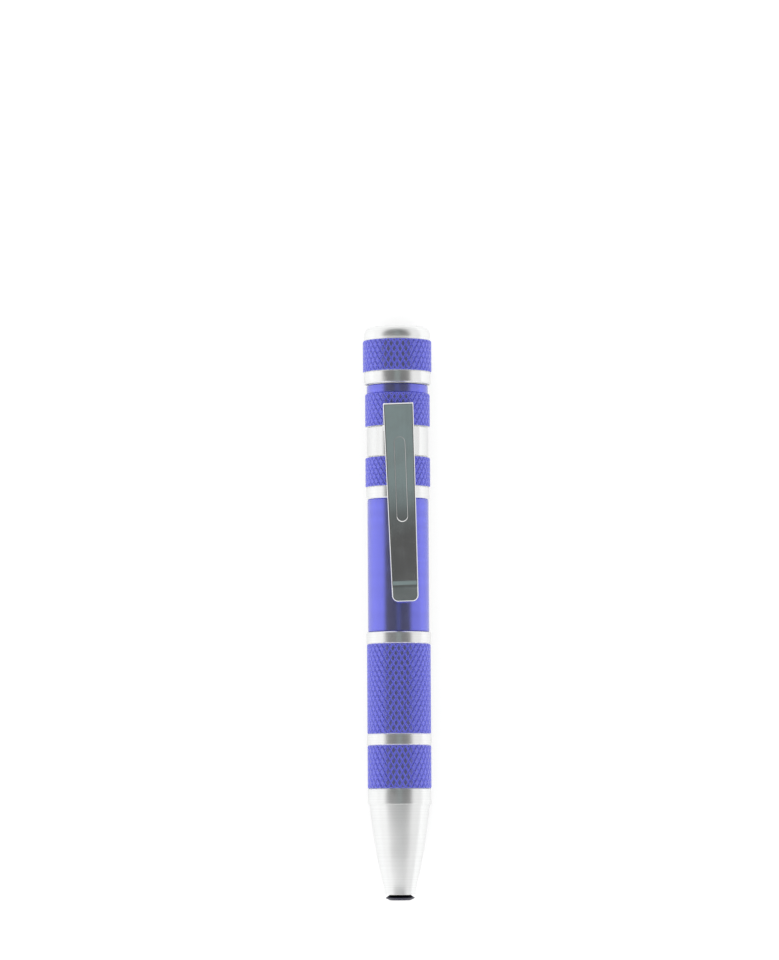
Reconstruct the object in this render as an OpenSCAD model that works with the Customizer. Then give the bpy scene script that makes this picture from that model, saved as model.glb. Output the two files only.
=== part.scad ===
// Pocket screwdriver: a two-piece knurled barrel with a hexagonal bit socket in its nose,
// a sprung pocket clip, and a turning tail cap that draws out a rack of eight bits.
// It lies on its barrel along Y, with its tail towards +Y and its clip up. Lengths are in millimetres.

/* [Nose] */
// Diameter of the nose at its mouth
nose_tip_d = 8.3; // [7.8:0.1:9.4]
// Length of the straight land at the mouth
nose_land_len = 1.8; // [1:0.1:4]
// Length of the nose from its mouth to its shoulder
nose_len = 22.6; // [20:0.1:28]
// Diameter of the nose just below its shoulder
nose_base_d = 15.1; // [14:0.1:15.6]
// How far the side of the nose swells past a straight cone
nose_swell = 0.3; // [0:0.05:0.5]
// Diameter of the plain collar above the shoulder
collar_d = 15.9; // [15.6:0.1:16.6]
// Length of the plain collar
collar_len = 4; // [2:0.5:8]
// Length of the spigot that plugs into the grip
spigot_len = 4.5; // [3:0.5:5]

/* [Bit socket] */
// Diameter of the socket sleeve
socket_d = 6.7; // [6:0.1:7.2]
// How far the sleeve stands out of the nose
socket_proud = 1.4; // [0.8:0.1:2]
// Rounding of the sleeve's front edge
socket_round = 0.6; // [0.2:0.1:0.6]
// Depth of the hexagonal hole
socket_depth = 12; // [9:0.5:14]
// Width of the countersink round the hole
socket_lead_in = 0.3; // [0.1:0.1:0.6]
// Diameter of the magnet behind the hole
magnet_d = 4; // [3:0.1:4.2]
// Thickness of the magnet
magnet_len = 3; // [1.5:0.5:4]
// Length of the sleeve left behind the magnet
socket_back_len = 0.5; // [0.3:0.1:2]

/* [Grip barrel] */
// Wall left between the bore and the thinnest band of the two barrels
least_wall = 0.5; // [0.3:0.05:0.8]
// Diameter over the knurling of the grip
grip_knurl_d = 16; // [15.6:0.1:17]
// Diameter of the turned rings of the grip
grip_ring_d = 16.2; // [15.6:0.1:17]
// Length of the knurled band next to the nose
low_knurl_len = 10.7; // [8:0.1:14]
// Length of the turned ring between the knurled bands
low_ring_len = 3; // [2:0.1:5]
// Length of the long knurled band
main_knurl_len = 22.4; // [18:0.1:28]
// Length of the turned ring at the joint of the barrels
joint_ring_len = 3; // [2:0.1:5]

/* [Upper barrel] */
// Diameter of the smooth tube
tube_d = 15.4; // [15:0.1:16]
// Length of the smooth tube
tube_len = 33.5; // [31:0.5:40]
// Diameter of the turned ring below the clip
upper_ring_d = 15.8; // [15.2:0.1:16.4]
// Length of that ring
upper_ring_len = 3.1; // [2:0.1:5]
// Diameter over the knurling beside the clip
upper_knurl_d = 16.3; // [15.8:0.1:17]
// Length of the knurled band below the clip's seat
below_clip_len = 7.3; // [5:0.1:10]
// Diameter of the seat that the clip's band sits in
clip_seat_d = 14.4; // [14.2:0.1:14.8]
// Length of that seat
clip_seat_len = 7.9; // [7.4:0.1:10]
// Length of the knurled band above the clip's seat
above_clip_len = 8.2; // [6:0.1:12]
// Diameter of the plain neck below the cap
neck_d = 15.4; // [15:0.1:16]
// Length of the plain neck
neck_len = 2.3; // [1.4:0.1:3.2]
// Width of the chamfer between neighbouring bands
band_chamfer = 0.25; // [0.1:0.05:0.4]

/* [Joining sleeve] */
// Length of the sleeve inside the two barrels
sleeve_len = 18; // [12:1:24]
// Wall of the sleeve
sleeve_wall = 0.6; // [0.5:0.05:0.8]

/* [Clip] */
// Thickness of the clip's sheet
clip_sheet = 0.5; // [0.3:0.05:0.6]
// Width of the arm at its hairpin bend
clip_width = 7.6; // [6:0.1:9]
// Width of the arm at its lip
clip_foot_width = 6.6; // [5:0.1:7.4]
// Radius of the lip's corners
clip_corner_r = 1.2; // [0.5:0.1:2]
// Height of the band
clip_band_len = 7.2; // [5:0.1:7.4]
// Width of the gap at the back of the band
clip_band_gap = 3; // [1:0.5:6]
// Height of the joggle that steps the root out over the knurling
clip_joggle_len = 1.4; // [1:0.1:2.5]
// Height of the hairpin's centre above the clip's seat
clip_rise = 4.5; // [3:0.1:6]
// Gap between the root and the arm inside the hairpin bend
clip_fold_gap = 0.7; // [0.4:0.05:2]
// Split between the end of the root and the start of the arm's bend
clip_split = 0.45; // [0.4:0.05:0.8]
// Length of the arm from the hairpin's centre to the end of its lip
clip_arm_len = 49; // [46:0.1:54]
// Distance from the end of the lip to the knee
clip_knee_len = 16.3; // [12:0.1:20]
// Distance from the end of the lip to the crest that meets the barrel
clip_crest_len = 4.6; // [3.5:0.1:6]
// Radius of the crest at the middle of the sheet
clip_crest_r = 5; // [3:0.5:8]
// Slope of the arm between its knee and its crest
clip_knee_angle = 8; // [6:0.5:12]
// Slope of the lip
clip_lip_angle = 22; // [10:1:30]
// Lean of the arm to one side of the barrel
clip_lean = 1.8; // [0:0.1:3]
// Width of the pressed rib
rib_width = 2.9; // [2:0.1:4]
// Length of the pressed rib
rib_len = 21.4; // [12:0.1:24]
// Distance from the hairpin's centre to the near end of the rib
rib_start = 7.4; // [5:0.1:9]
// Height of the rib above the arm
rib_height = 0.2; // [0.1:0.05:0.4]

/* [Tail cap] */
// Diameter of the cap's turned ring
cap_ring_d = 16.8; // [16.6:0.1:18]
// Length of that ring
cap_ring_len = 3.1; // [2.6:0.1:5]
// Diameter over the cap's knurling
cap_knurl_d = 17.3; // [16.8:0.1:19]
// Length of the cap's knurled band
cap_knurl_len = 7.9; // [6.5:0.1:11]
// Diameter of the dome where it leaves the knurling
cap_dome_d = 16.7; // [15.5:0.1:16.8]
// Height of the dome
cap_dome_len = 3.4; // [2:0.1:5]
// Diameter of the flat on top of the dome
cap_top_d = 13.8; // [8:0.1:14]

/* [Tail plug] */
// Length of the plug inside the barrel
plug_len = 9; // [8.5:0.5:12]
// Diameter of the plug's flange
flange_d = 14.8; // [14.2:0.1:15]
// Thickness of the flange
flange_len = 1.1; // [0.8:0.1:1.6]
// Diameter of the boss that the cap turns on
boss_d = 9; // [7:0.1:10]
// Length of the boss
boss_len = 6.4; // [5:0.1:7]
// Thickness of the O-ring
o_ring_section = 1; // [0.8:0.1:1.4]
// Height of the O-ring's middle above the bottom of the plug
o_ring_height = 6; // [5.5:0.1:7]
// Diameter of the swivel screw's shank
screw_d = 2.5; // [2:0.1:3]
// Diameter of the screw's head
screw_head_d = 4.4; // [3.8:0.1:5]
// Thickness of the screw's head
screw_head_len = 1.6; // [1.2:0.1:2]
// Width of the slot in the screw's head
screw_slot_width = 0.8; // [0.5:0.1:1]
// Depth of that slot
screw_slot_depth = 0.7; // [0.4:0.1:1]
// Depth of screw held in the cap
screw_grip_len = 3.2; // [2:0.1:4]
// Height of the head's seat above the bottom of the plug
screw_seat_height = 4.5; // [4.3:0.1:5]
// Thickness of the thrust washer
washer_len = 0.5; // [0.3:0.1:0.8]
// Rim of the flange left outside the thrust washer
washer_rim = 0.3; // [0.1:0.1:0.6]

/* [Bit rack] */
// Diameter of the stem
stem_d = 2; // [1.6:0.1:2.2]
// Depth of the stem's hole in the upper holder
stem_hold_len = 8; // [5:0.5:10]
// Length of a bit holder
holder_len = 14; // [13:0.5:16]
// Depth of a bit's pocket
pocket_depth = 12; // [10:0.5:12.5]
// Wall between a pocket's flat and the outside of its holder
pocket_wall = 0.35; // [0.3:0.05:0.5]
// Least web between neighbouring pockets
pocket_web = 0.15; // [0.1:0.05:0.3]
// Length of the upper holder's spigot in the plug
holder_spigot_len = 2.4; // [1.5:0.1:2.6]
// Travel of a bit out of its pocket
bit_travel = 12.5; // [12.5:0.1:13.5]

/* [Bits] */
// Width across the flats of a bit's shank, where four of them have room in a holder
bit_hex = 4; // [3.8:0.05:4.1]
// Length of a bit
bit_len = 28; // [27:0.5:30]
// Length of the hexagonal shank
bit_shank_len = 19.4; // [17:0.1:21]
// Length of the flare between the shank and the blade
bit_flare_len = 2.6; // [1.5:0.1:4]
// Width of the chamfer at each end of the shank
bit_chamfer = 0.35; // [0.2:0.05:0.5]
// Diameter of the largest cross-head blade
cross_large_d = 3; // [2.6:0.1:3.2]
// Diameter of the middle cross-head blade
cross_middle_d = 2.4; // [2:0.1:2.6]
// Diameter of the smallest cross-head blade
cross_small_d = 1.8; // [1.5:0.1:2]
// Width of the largest flat blade
slot_large_d = 2.4; // [2.2:0.1:2.8]
// Width of the middle flat blade
slot_middle_d = 2; // [1.8:0.1:2.2]
// Width of the smallest flat blade
slot_small_d = 1.4; // [1.2:0.1:1.6]
// Width across the larger six-lobed blade
lobed_large_d = 1.45; // [1.3:0.05:1.6]
// Width across the smaller six-lobed blade
lobed_small_d = 1.3; // [1.1:0.05:1.4]

/* [Fits] */
// Gap round a piece that is fixed in another
fixed_gap = 0.02; // [0.01:0.01:0.04]
// Gap round a piece that turns or slides in another
running_gap = 0.05; // [0.02:0.01:0.1]
// Gap between a bit's shank and its pocket or the socket
pocket_gap = 0.05; // [0.03:0.01:0.08]
// Gap between the rack and the sleeve that it passes
rack_gap = 0.2; // [0.15:0.05:0.3]
// Gap between the clip and the barrel below it
clip_gap = 0.15; // [0.1:0.05:0.3]
// Gap between the cap and the barrel's end
cap_gap = 0.2; // [0.1:0.05:0.4]
// Gap between the bits of one tier and the holder of the next
tier_gap = 0.5; // [0.3:0.1:1]

/* [Hidden] */

round_fn = 96;
curve_steps = 16;
bend_steps = 12;
overrun = 1;
violet = "#6a68c8";
bare_metal = "#dcdfe0";
dark_steel = "#2c2c38";
spring_steel = "#8a938f";
tool_steel = "#a5a8a9";
holder_plastic = "#303236";
seal_rubber = "#1a1a1c";
washer_plastic = "#e8e6dc";

// Radii of the barrel and of what it holds
thinnest_d = min(
    grip_knurl_d, grip_ring_d, tube_d, upper_ring_d, upper_knurl_d, clip_seat_d, neck_d
);
bore_r = thinnest_d / 2 - least_wall;
spigot_r = bore_r - fixed_gap;
socket_r = socket_d / 2;
magnet_r = magnet_d / 2;
sleeve_r = bore_r - fixed_gap;
sleeve_bore_r = sleeve_r - sleeve_wall;
plug_r = bore_r - running_gap;
flange_r = flange_d / 2;
boss_r = boss_d / 2;
screw_r = screw_d / 2;
screw_head_r = screw_head_d / 2;
screw_hole_r = screw_r + running_gap;
head_bore_r = screw_head_r + rack_gap;
stem_r = stem_d / 2;

// Stations along the barrel, from the socket's mouth at zero to the top of the cap
nose_mouth_z = socket_proud;
land_top_z = nose_mouth_z + nose_land_len;
shoulder_z = nose_mouth_z + nose_len;
grip_z = shoulder_z + collar_len;
spigot_top_z = grip_z + spigot_len;
low_ring_z = grip_z + low_knurl_len;
main_knurl_z = low_ring_z + low_ring_len;
joint_ring_z = main_knurl_z + main_knurl_len;
joint_z = joint_ring_z + joint_ring_len;
upper_ring_z = joint_z + tube_len;
below_clip_z = upper_ring_z + upper_ring_len;
clip_seat_z = below_clip_z + below_clip_len;
above_clip_z = clip_seat_z + clip_seat_len;
neck_z = above_clip_z + above_clip_len;
barrel_top_z = neck_z + neck_len;
cap_z = barrel_top_z + cap_gap;
cap_knurl_z = cap_z + cap_ring_len;
cap_dome_z = cap_knurl_z + cap_knurl_len;
cap_top_z = cap_dome_z + cap_dome_len;
axis_height = cap_knurl_d / 2;

// Stations of the socket and of the plug
magnet_z = socket_depth;
socket_top_z = socket_depth + magnet_len + socket_back_len;
plug_z = barrel_top_z - plug_len;
flange_z = barrel_top_z + running_gap;
washer_z = flange_z + flange_len;
cap_seat_z = washer_z + washer_len + running_gap;
boss_top_z = washer_z + boss_len;
cap_bore_top_z = boss_top_z + cap_gap;
screw_top_z = cap_bore_top_z + screw_grip_len;
screw_seat_z = plug_z + screw_seat_height;
o_ring_z = plug_z + o_ring_height;
o_ring_r = plug_r - o_ring_section / 2;

// Stations of the rack, from the plug down
holder_r = sleeve_bore_r - rack_gap;
pocket_room = (sqrt(2) * (holder_r - pocket_wall) - pocket_web) / (sqrt(2) / 2 + cos(15) / cos(30));
pocket_hex = min(bit_hex + 2 * pocket_gap, pocket_room);
shank_hex = pocket_hex - 2 * pocket_gap;
bit_circle_r = holder_r - pocket_wall - pocket_hex / 2;
upper_holder_z = plug_z - holder_len;
upper_bit_z = upper_holder_z + pocket_depth - pocket_gap - bit_len;
lower_holder_z = upper_bit_z - bit_travel - tier_gap - holder_len;
lower_bit_z = lower_holder_z + pocket_depth - pocket_gap - bit_len;
stem_top_z = upper_holder_z + stem_hold_len;

// Places of the clip, as a distance out from the barrel's axis and a station along it
band_inner_r = clip_seat_d / 2 + fixed_gap;
band_outer_r = band_inner_r + clip_sheet;
band_middle_r = band_inner_r + clip_sheet / 2;
band_z = clip_seat_z + (clip_seat_len - clip_band_len) / 2;
root_out = upper_knurl_d / 2 + clip_gap + clip_sheet / 2;
clip_bend_r = (clip_fold_gap + clip_sheet) / 2;
bend_out = root_out + clip_bend_r;
bend_z = above_clip_z + clip_rise;
arm_out = bend_out + clip_bend_r;
lip_z = bend_z - clip_arm_len;
knee_z = lip_z + clip_knee_len;
crest_z = lip_z + clip_crest_len;
crest_centre_out = tube_d / 2 + clip_gap + clip_sheet / 2 + clip_crest_r;
knee_start_out = crest_centre_out - clip_crest_r * cos(clip_knee_angle);
knee_start_z = crest_z + clip_crest_r * sin(clip_knee_angle);
knee_out = knee_start_out + (knee_z - knee_start_z) * tan(clip_knee_angle);
lip_start_out = crest_centre_out - clip_crest_r * cos(clip_lip_angle);
lip_start_z = crest_z - clip_crest_r * sin(clip_lip_angle);
lip_out = lip_start_out + (lip_start_z - lip_z) * tan(clip_lip_angle);
arm_slope = atan((arm_out - knee_out) / (bend_z - knee_z));

// Shares that shape a bit's blade
cross_point_share = 0.22;
cross_core_share = 0.3;
cross_taper_share = 0.8;
cross_flute_share = 1.6;
flat_edge_share = 0.22;
flat_taper_share = 1.9;
lobe_cut_share = 0.3;
lobe_len_share = 1.6;
lobe_shaft_share = 1.7;
flare_waist_shares = [[0, 1], [0.25, 0.5], [0.6, 0.16], [1, 0]];

// Corner radius of a hexagon of the given width across its flats
function hex_corner(flats) = flats / 2 / cos(30);

// Outline of a band of the barrel, chamfered at both ends
function band(radius, low, high) = [
    [radius - band_chamfer, low],
    [radius, low + band_chamfer],
    [radius, high - band_chamfer],
    [radius - band_chamfer, high]
];

// Outline of the nose's swelled side, from the land to the shoulder
function nose_side() = [
    for (i = [0 : curve_steps])
        let (along = i / curve_steps)
        [
            (nose_tip_d + (nose_base_d - nose_tip_d) * along) / 2
                + 4 * nose_swell * along * (1 - along),
            land_top_z + (shoulder_z - land_top_z) * along
        ]
];

// Outline of the cap's dome, a quarter of an ellipse above a chamfered foot
function dome_side() = concat(
    [[cap_dome_d / 2 - band_chamfer, cap_dome_z]],
    [
        for (i = [0 : curve_steps])
            let (turn = 90 * i / curve_steps)
            [
                cap_top_d / 2 + (cap_dome_d - cap_top_d) / 2 * cos(turn),
                cap_dome_z + band_chamfer + (cap_dome_len - band_chamfer) * sin(turn)
            ]
    ]
);

// Arc of points about a centre
function arc(centre, radius, from, to) = [
    for (i = [0 : bend_steps])
        let (turn = from + (to - from) * i / bend_steps)
        centre + radius * [cos(turn), sin(turn)]
];

// Unit normal of a path at one of its points
function path_normal(path, i) =
    let (
        before = path[max(i - 1, 0)],
        after = path[min(i + 1, len(path) - 1)],
        along = (after - before) / norm(after - before)
    )
    [-along[1], along[0]];

// Outline of a sheet of the clip's thickness along a path
function sheet_outline(path) = concat(
    [for (i = [0 : len(path) - 1]) path[i] + path_normal(path, i) * clip_sheet / 2],
    [for (i = [len(path) - 1 : -1 : 0]) path[i] - path_normal(path, i) * clip_sheet / 2]
);

// Path of the clip's root, from the band up into the hairpin bend
function root_path() = [
    [band_middle_r, band_z],
    [band_middle_r, above_clip_z - clip_gap - clip_joggle_len],
    [root_out, above_clip_z - clip_gap],
    [root_out, bend_z - clip_split]
];

// Path of the clip's arm, over the hairpin bend, down to the crest and out along the lip
function arm_path() = concat(
    arc([bend_out, bend_z], clip_bend_r, 180, 0),
    [[knee_out, knee_z]],
    arc([crest_centre_out, crest_z], clip_crest_r, 180 - clip_knee_angle, 180 + clip_lip_angle),
    [[lip_out, lip_z]]
);

// Outline of the clip's arm seen from the front, tapered, with round corners at its lip
function arm_outline() = concat(
    [
        [clip_width / 2, bend_z + clip_bend_r + clip_sheet],
        [-clip_width / 2, bend_z + clip_bend_r + clip_sheet]
    ],
    arc([clip_corner_r - clip_foot_width / 2, lip_z + clip_corner_r], clip_corner_r, 180, 270),
    arc([clip_foot_width / 2 - clip_corner_r, lip_z + clip_corner_r], clip_corner_r, 270, 360)
);

// Lays the screwdriver down, from upright with its clip in front
module lay_down() {
    translate([0, -cap_top_z / 2, axis_height]) rotate([-90, 0, 0]) children();
}

// Solid of revolution about the barrel's axis
module turned(outline) {
    rotate_extrude($fn = round_fn) polygon(outline);
}

// Straight round bar along the barrel's axis
module bar(radius, low, high) {
    translate([0, 0, low]) cylinder(r = radius, h = high - low, $fn = round_fn);
}

// Hexagonal bar along the barrel's axis, with a flat towards +X
module hex_bar(flats, low, high) {
    translate([0, 0, low]) rotate([0, 0, 30]) cylinder(r = hex_corner(flats), h = high - low, $fn = 6);
}

module nose_cone() {
    color(bare_metal) lay_down() turned(concat(
        [
            [socket_r + fixed_gap, nose_mouth_z],
            [nose_tip_d / 2 - band_chamfer, nose_mouth_z],
            [nose_tip_d / 2, nose_mouth_z + band_chamfer]
        ],
        nose_side(),
        band(collar_d / 2, shoulder_z, grip_z),
        [
            [spigot_r, grip_z],
            [spigot_r, spigot_top_z],
            [0, spigot_top_z],
            [0, socket_top_z],
            [socket_r + fixed_gap, socket_top_z]
        ]
    ));
}

module bit_socket() {
    lead_r = hex_corner(pocket_hex) + socket_lead_in;
    color(dark_steel) lay_down() difference() {
        turned(concat(
            [[0, 0]],
            arc([socket_r - socket_round, socket_round], socket_round, 270, 360),
            [[socket_r, socket_top_z], [0, socket_top_z]]
        ));
        hex_bar(pocket_hex, -overrun, magnet_z);
        bar(magnet_r + fixed_gap, magnet_z - overrun, socket_top_z + overrun);
        translate([0, 0, -overrun]) cylinder(r1 = lead_r + overrun, r2 = 0, h = lead_r + overrun, $fn = round_fn);
    }
}

module socket_magnet() {
    color(spring_steel) lay_down() bar(magnet_r, magnet_z, magnet_z + magnet_len);
}

module grip_barrel() {
    color(violet) lay_down() turned(concat(
        [[bore_r, grip_z]],
        band(grip_knurl_d / 2, grip_z, low_ring_z),
        band(grip_ring_d / 2, low_ring_z, main_knurl_z),
        band(grip_knurl_d / 2, main_knurl_z, joint_ring_z),
        band(grip_ring_d / 2, joint_ring_z, joint_z),
        [[bore_r, joint_z]]
    ));
}

module joining_sleeve() {
    color(bare_metal) lay_down() difference() {
        bar(sleeve_r, joint_z - sleeve_len / 2, joint_z + sleeve_len / 2);
        bar(sleeve_bore_r, joint_z - sleeve_len, joint_z + sleeve_len);
    }
}

module upper_barrel() {
    color(violet) lay_down() turned(concat(
        [[bore_r, joint_z]],
        band(tube_d / 2, joint_z, upper_ring_z),
        band(upper_ring_d / 2, upper_ring_z, below_clip_z),
        band(upper_knurl_d / 2, below_clip_z, clip_seat_z),
        [[clip_seat_d / 2, clip_seat_z], [clip_seat_d / 2, above_clip_z]],
        band(upper_knurl_d / 2, above_clip_z, neck_z),
        band(neck_d / 2, neck_z, barrel_top_z),
        [[bore_r, barrel_top_z]]
    ));
}

// Sheet bent along a path in the plane of the barrel's axis and the clip
module bent_sheet(path, width) {
    rotate([90, 0, -90]) linear_extrude(width, center = true) polygon(sheet_outline(path));
}

module clip_band() {
    color(spring_steel) lay_down() union() {
        difference() {
            bar(band_outer_r, band_z, band_z + clip_band_len);
            bar(band_inner_r, band_z - overrun, band_z + clip_band_len + overrun);
            translate([-clip_band_gap / 2, 0, band_z - overrun])
                cube([clip_band_gap, band_outer_r + overrun, clip_band_len + 2 * overrun]);
        }
        bent_sheet(root_path(), clip_width);
    }
}

module clip_arm() {
    reach = arm_out + lip_out;
    color(spring_steel) lay_down()
        translate([0, 0, bend_z]) rotate([0, -clip_lean, 0]) translate([0, 0, -bend_z]) union() {
            intersection() {
                bent_sheet(arm_path(), clip_width);
                rotate([90, 0, 0]) linear_extrude(reach) polygon(arm_outline());
            }
            translate([0, -arm_out, bend_z]) rotate([90 + arm_slope, 0, 0])
                linear_extrude(clip_sheet / 2 + rib_height) pressed_rib();
        }
}

// Outline of the rib, a slot with round ends that runs down the arm
module pressed_rib() {
    end_r = rib_width / 2;
    for (end = [rib_start + end_r, rib_start + rib_len - end_r])
        translate([0, -end]) circle(r = end_r, $fn = round_fn);
    translate([-end_r, end_r - rib_start - rib_len]) square([rib_width, rib_len - rib_width]);
}

module tail_cap() {
    color(violet) lay_down() turned(concat(
        [[flange_r + running_gap, cap_z]],
        band(cap_ring_d / 2, cap_z, cap_knurl_z),
        band(cap_knurl_d / 2, cap_knurl_z, cap_dome_z),
        dome_side(),
        [
            [0, cap_top_z],
            [0, screw_top_z],
            [screw_r + fixed_gap, screw_top_z],
            [screw_r + fixed_gap, cap_bore_top_z],
            [boss_r + running_gap, cap_bore_top_z],
            [boss_r + running_gap, cap_seat_z],
            [flange_r + running_gap, cap_seat_z]
        ]
    ));
}

module swivel_screw() {
    head_z = screw_seat_z - running_gap - screw_head_len;
    color(tool_steel) lay_down() difference() {
        union() {
            bar(screw_head_r, head_z, head_z + screw_head_len);
            bar(screw_r, head_z, screw_top_z);
        }
        translate([-screw_slot_width / 2, -screw_head_d, head_z - screw_slot_depth])
            cube([screw_slot_width, 2 * screw_head_d, 2 * screw_slot_depth]);
    }
}

module thrust_washer() {
    color(washer_plastic) lay_down() difference() {
        bar(flange_r - washer_rim, washer_z + running_gap / 2, washer_z + washer_len + running_gap / 2);
        bar(boss_r + running_gap, washer_z - overrun, cap_seat_z + overrun);
    }
}

module cap_plug() {
    groove_r = o_ring_r - o_ring_section / 2 - fixed_gap;
    groove_half = o_ring_section / 2 + running_gap;
    color(bare_metal) lay_down() turned([
        [head_bore_r, plug_z],
        [plug_r, plug_z],
        [plug_r, o_ring_z - groove_half],
        [groove_r, o_ring_z - groove_half],
        [groove_r, o_ring_z + groove_half],
        [plug_r, o_ring_z + groove_half],
        [plug_r, flange_z],
        [flange_r, flange_z],
        [flange_r, washer_z],
        [boss_r, washer_z],
        [boss_r, boss_top_z],
        [screw_hole_r, boss_top_z],
        [screw_hole_r, screw_seat_z],
        [head_bore_r, screw_seat_z]
    ]);
}

module plug_o_ring() {
    color(seal_rubber) lay_down() rotate_extrude($fn = round_fn)
        translate([o_ring_r, o_ring_z]) circle(d = o_ring_section, $fn = round_fn);
}

module rack_stem() {
    color(tool_steel) lay_down() bar(stem_r, lower_holder_z, stem_top_z);
}

// Four hexagonal pockets, open towards the nose
module bit_pockets(holder_z) {
    for (seat = [0 : 3])
        rotate([0, 0, 45 + 90 * seat]) translate([bit_circle_r, 0, 0])
            hex_bar(pocket_hex, holder_z - overrun, holder_z + pocket_depth);
}

module upper_bit_holder() {
    color(holder_plastic) lay_down() difference() {
        union() {
            bar(holder_r, upper_holder_z, plug_z);
            bar(head_bore_r - fixed_gap, upper_holder_z, plug_z + holder_spigot_len);
        }
        bit_pockets(upper_holder_z);
        bar(stem_r + fixed_gap, upper_holder_z - overrun, stem_top_z);
    }
}

module lower_bit_holder() {
    color(holder_plastic) lay_down() difference() {
        bar(holder_r, lower_holder_z, lower_holder_z + holder_len);
        bit_pockets(lower_holder_z);
        bar(stem_r + fixed_gap, lower_holder_z - overrun, lower_holder_z + holder_len + overrun);
    }
}

// A bit's hexagonal shank, flare and round shaft, with its point at zero and its shank up
module bit_body(shaft_d) {
    corner_r = hex_corner(shank_hex);
    shank_z = bit_len - bit_shank_len;
    flare_z = shank_z - bit_flare_len;
    waist_r = shank_hex / 2 - bit_chamfer;
    intersection() {
        hex_bar(shank_hex, shank_z, bit_len);
        turned([
            [0, shank_z],
            [corner_r - bit_chamfer, shank_z],
            [corner_r, shank_z + bit_chamfer],
            [corner_r, bit_len - bit_chamfer],
            [corner_r - bit_chamfer, bit_len],
            [0, bit_len]
        ]);
    }
    turned(concat(
        [[0, 0], [shaft_d / 2, 0]],
        [
            for (i = [len(flare_waist_shares) - 1 : -1 : 0])
                let (share = flare_waist_shares[i])
                [
                    shaft_d / 2 + (waist_r - shaft_d / 2) * share[1],
                    shank_z - (shank_z - flare_z) * share[0]
                ]
        ],
        [[waist_r, shank_z + bit_chamfer], [0, shank_z + bit_chamfer]]
    ));
}

// Bit with a pointed blade and four flutes
module cross_bit(blade_d) {
    point_r = blade_d / 2 * cross_point_share;
    taper_len = blade_d * cross_taper_share;
    flute_len = blade_d * cross_flute_share;
    core_r = blade_d / 2 * cross_core_share;
    flute_lean = atan((blade_d / 2 - core_r) / flute_len);
    difference() {
        bit_body(blade_d);
        turned([
            [point_r, 0],
            [blade_d / 2, taper_len],
            [blade_d, taper_len],
            [blade_d, -overrun],
            [point_r, -overrun]
        ]);
        for (flute = [0 : 3])
            rotate([0, 0, 90 * flute]) translate([core_r, 0, 0]) rotate([0, flute_lean, 0])
                rotate([0, 0, -45]) translate([0, 0, -blade_d]) cube([blade_d, blade_d, 3 * blade_d]);
    }
}

// Bit with a flat blade, ground to a straight edge from both sides
module flat_bit(blade_d) {
    edge_half = blade_d / 2 * flat_edge_share;
    taper_len = blade_d * flat_taper_share;
    difference() {
        bit_body(blade_d);
        for (side = [0, 180])
            rotate([0, 0, side]) rotate([90, 0, 0]) linear_extrude(2 * blade_d, center = true)
                polygon([
                    [edge_half, -overrun],
                    [edge_half, 0],
                    [blade_d / 2, taper_len],
                    [blade_d, taper_len],
                    [blade_d, -overrun]
                ]);
    }
}

// Bit with a six-lobed blade below a thicker shaft
module lobed_bit(blade_d) {
    lobe_len = blade_d * lobe_len_share;
    shaft_d = blade_d * lobe_shaft_share;
    difference() {
        bit_body(shaft_d);
        translate([0, 0, -overrun]) linear_extrude(lobe_len + overrun) difference() {
            circle(d = 2 * shaft_d, $fn = round_fn);
            difference() {
                circle(d = blade_d, $fn = round_fn);
                for (lobe = [0 : 5])
                    rotate(60 * lobe) translate([blade_d / 2, 0])
                        circle(d = blade_d * lobe_cut_share, $fn = round_fn);
            }
        }
    }
}

// Puts a bit into one of the four seats of a tier
module seated(bit_z, seat) {
    color(tool_steel) lay_down()
        rotate([0, 0, 45 + 90 * seat]) translate([bit_circle_r, 0, bit_z]) children();
}

module bit_cross_large() { seated(upper_bit_z, 0) cross_bit(cross_large_d); }
module bit_slotted_2_4() { seated(upper_bit_z, 1) flat_bit(slot_large_d); }
module bit_lobed_large() { seated(upper_bit_z, 2) lobed_bit(lobed_large_d); }
module bit_cross_middle() { seated(upper_bit_z, 3) cross_bit(cross_middle_d); }
module bit_slotted_2_0() { seated(lower_bit_z, 0) flat_bit(slot_middle_d); }
module bit_lobed_small() { seated(lower_bit_z, 1) lobed_bit(lobed_small_d); }
module bit_cross_small() { seated(lower_bit_z, 2) cross_bit(cross_small_d); }
module bit_slotted_1_4() { seated(lower_bit_z, 3) flat_bit(slot_small_d); }

nose_cone();
bit_socket();
socket_magnet();
grip_barrel();
joining_sleeve();
upper_barrel();
clip_band();
clip_arm();
tail_cap();
swivel_screw();
thrust_washer();
cap_plug();
plug_o_ring();
rack_stem();
upper_bit_holder();
lower_bit_holder();
bit_cross_large();
bit_slotted_2_4();
bit_lobed_large();
bit_cross_middle();
bit_slotted_2_0();
bit_lobed_small();
bit_cross_small();
bit_slotted_1_4();
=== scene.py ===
"""Looks of a pocket screwdriver: knurled barrels, turned nose, folded clip and a rack of bits."""

import math

import bmesh
import bpy
from bpy.props import FloatProperty, FloatVectorProperty, PointerProperty
from mathutils import Matrix, Vector


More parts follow.
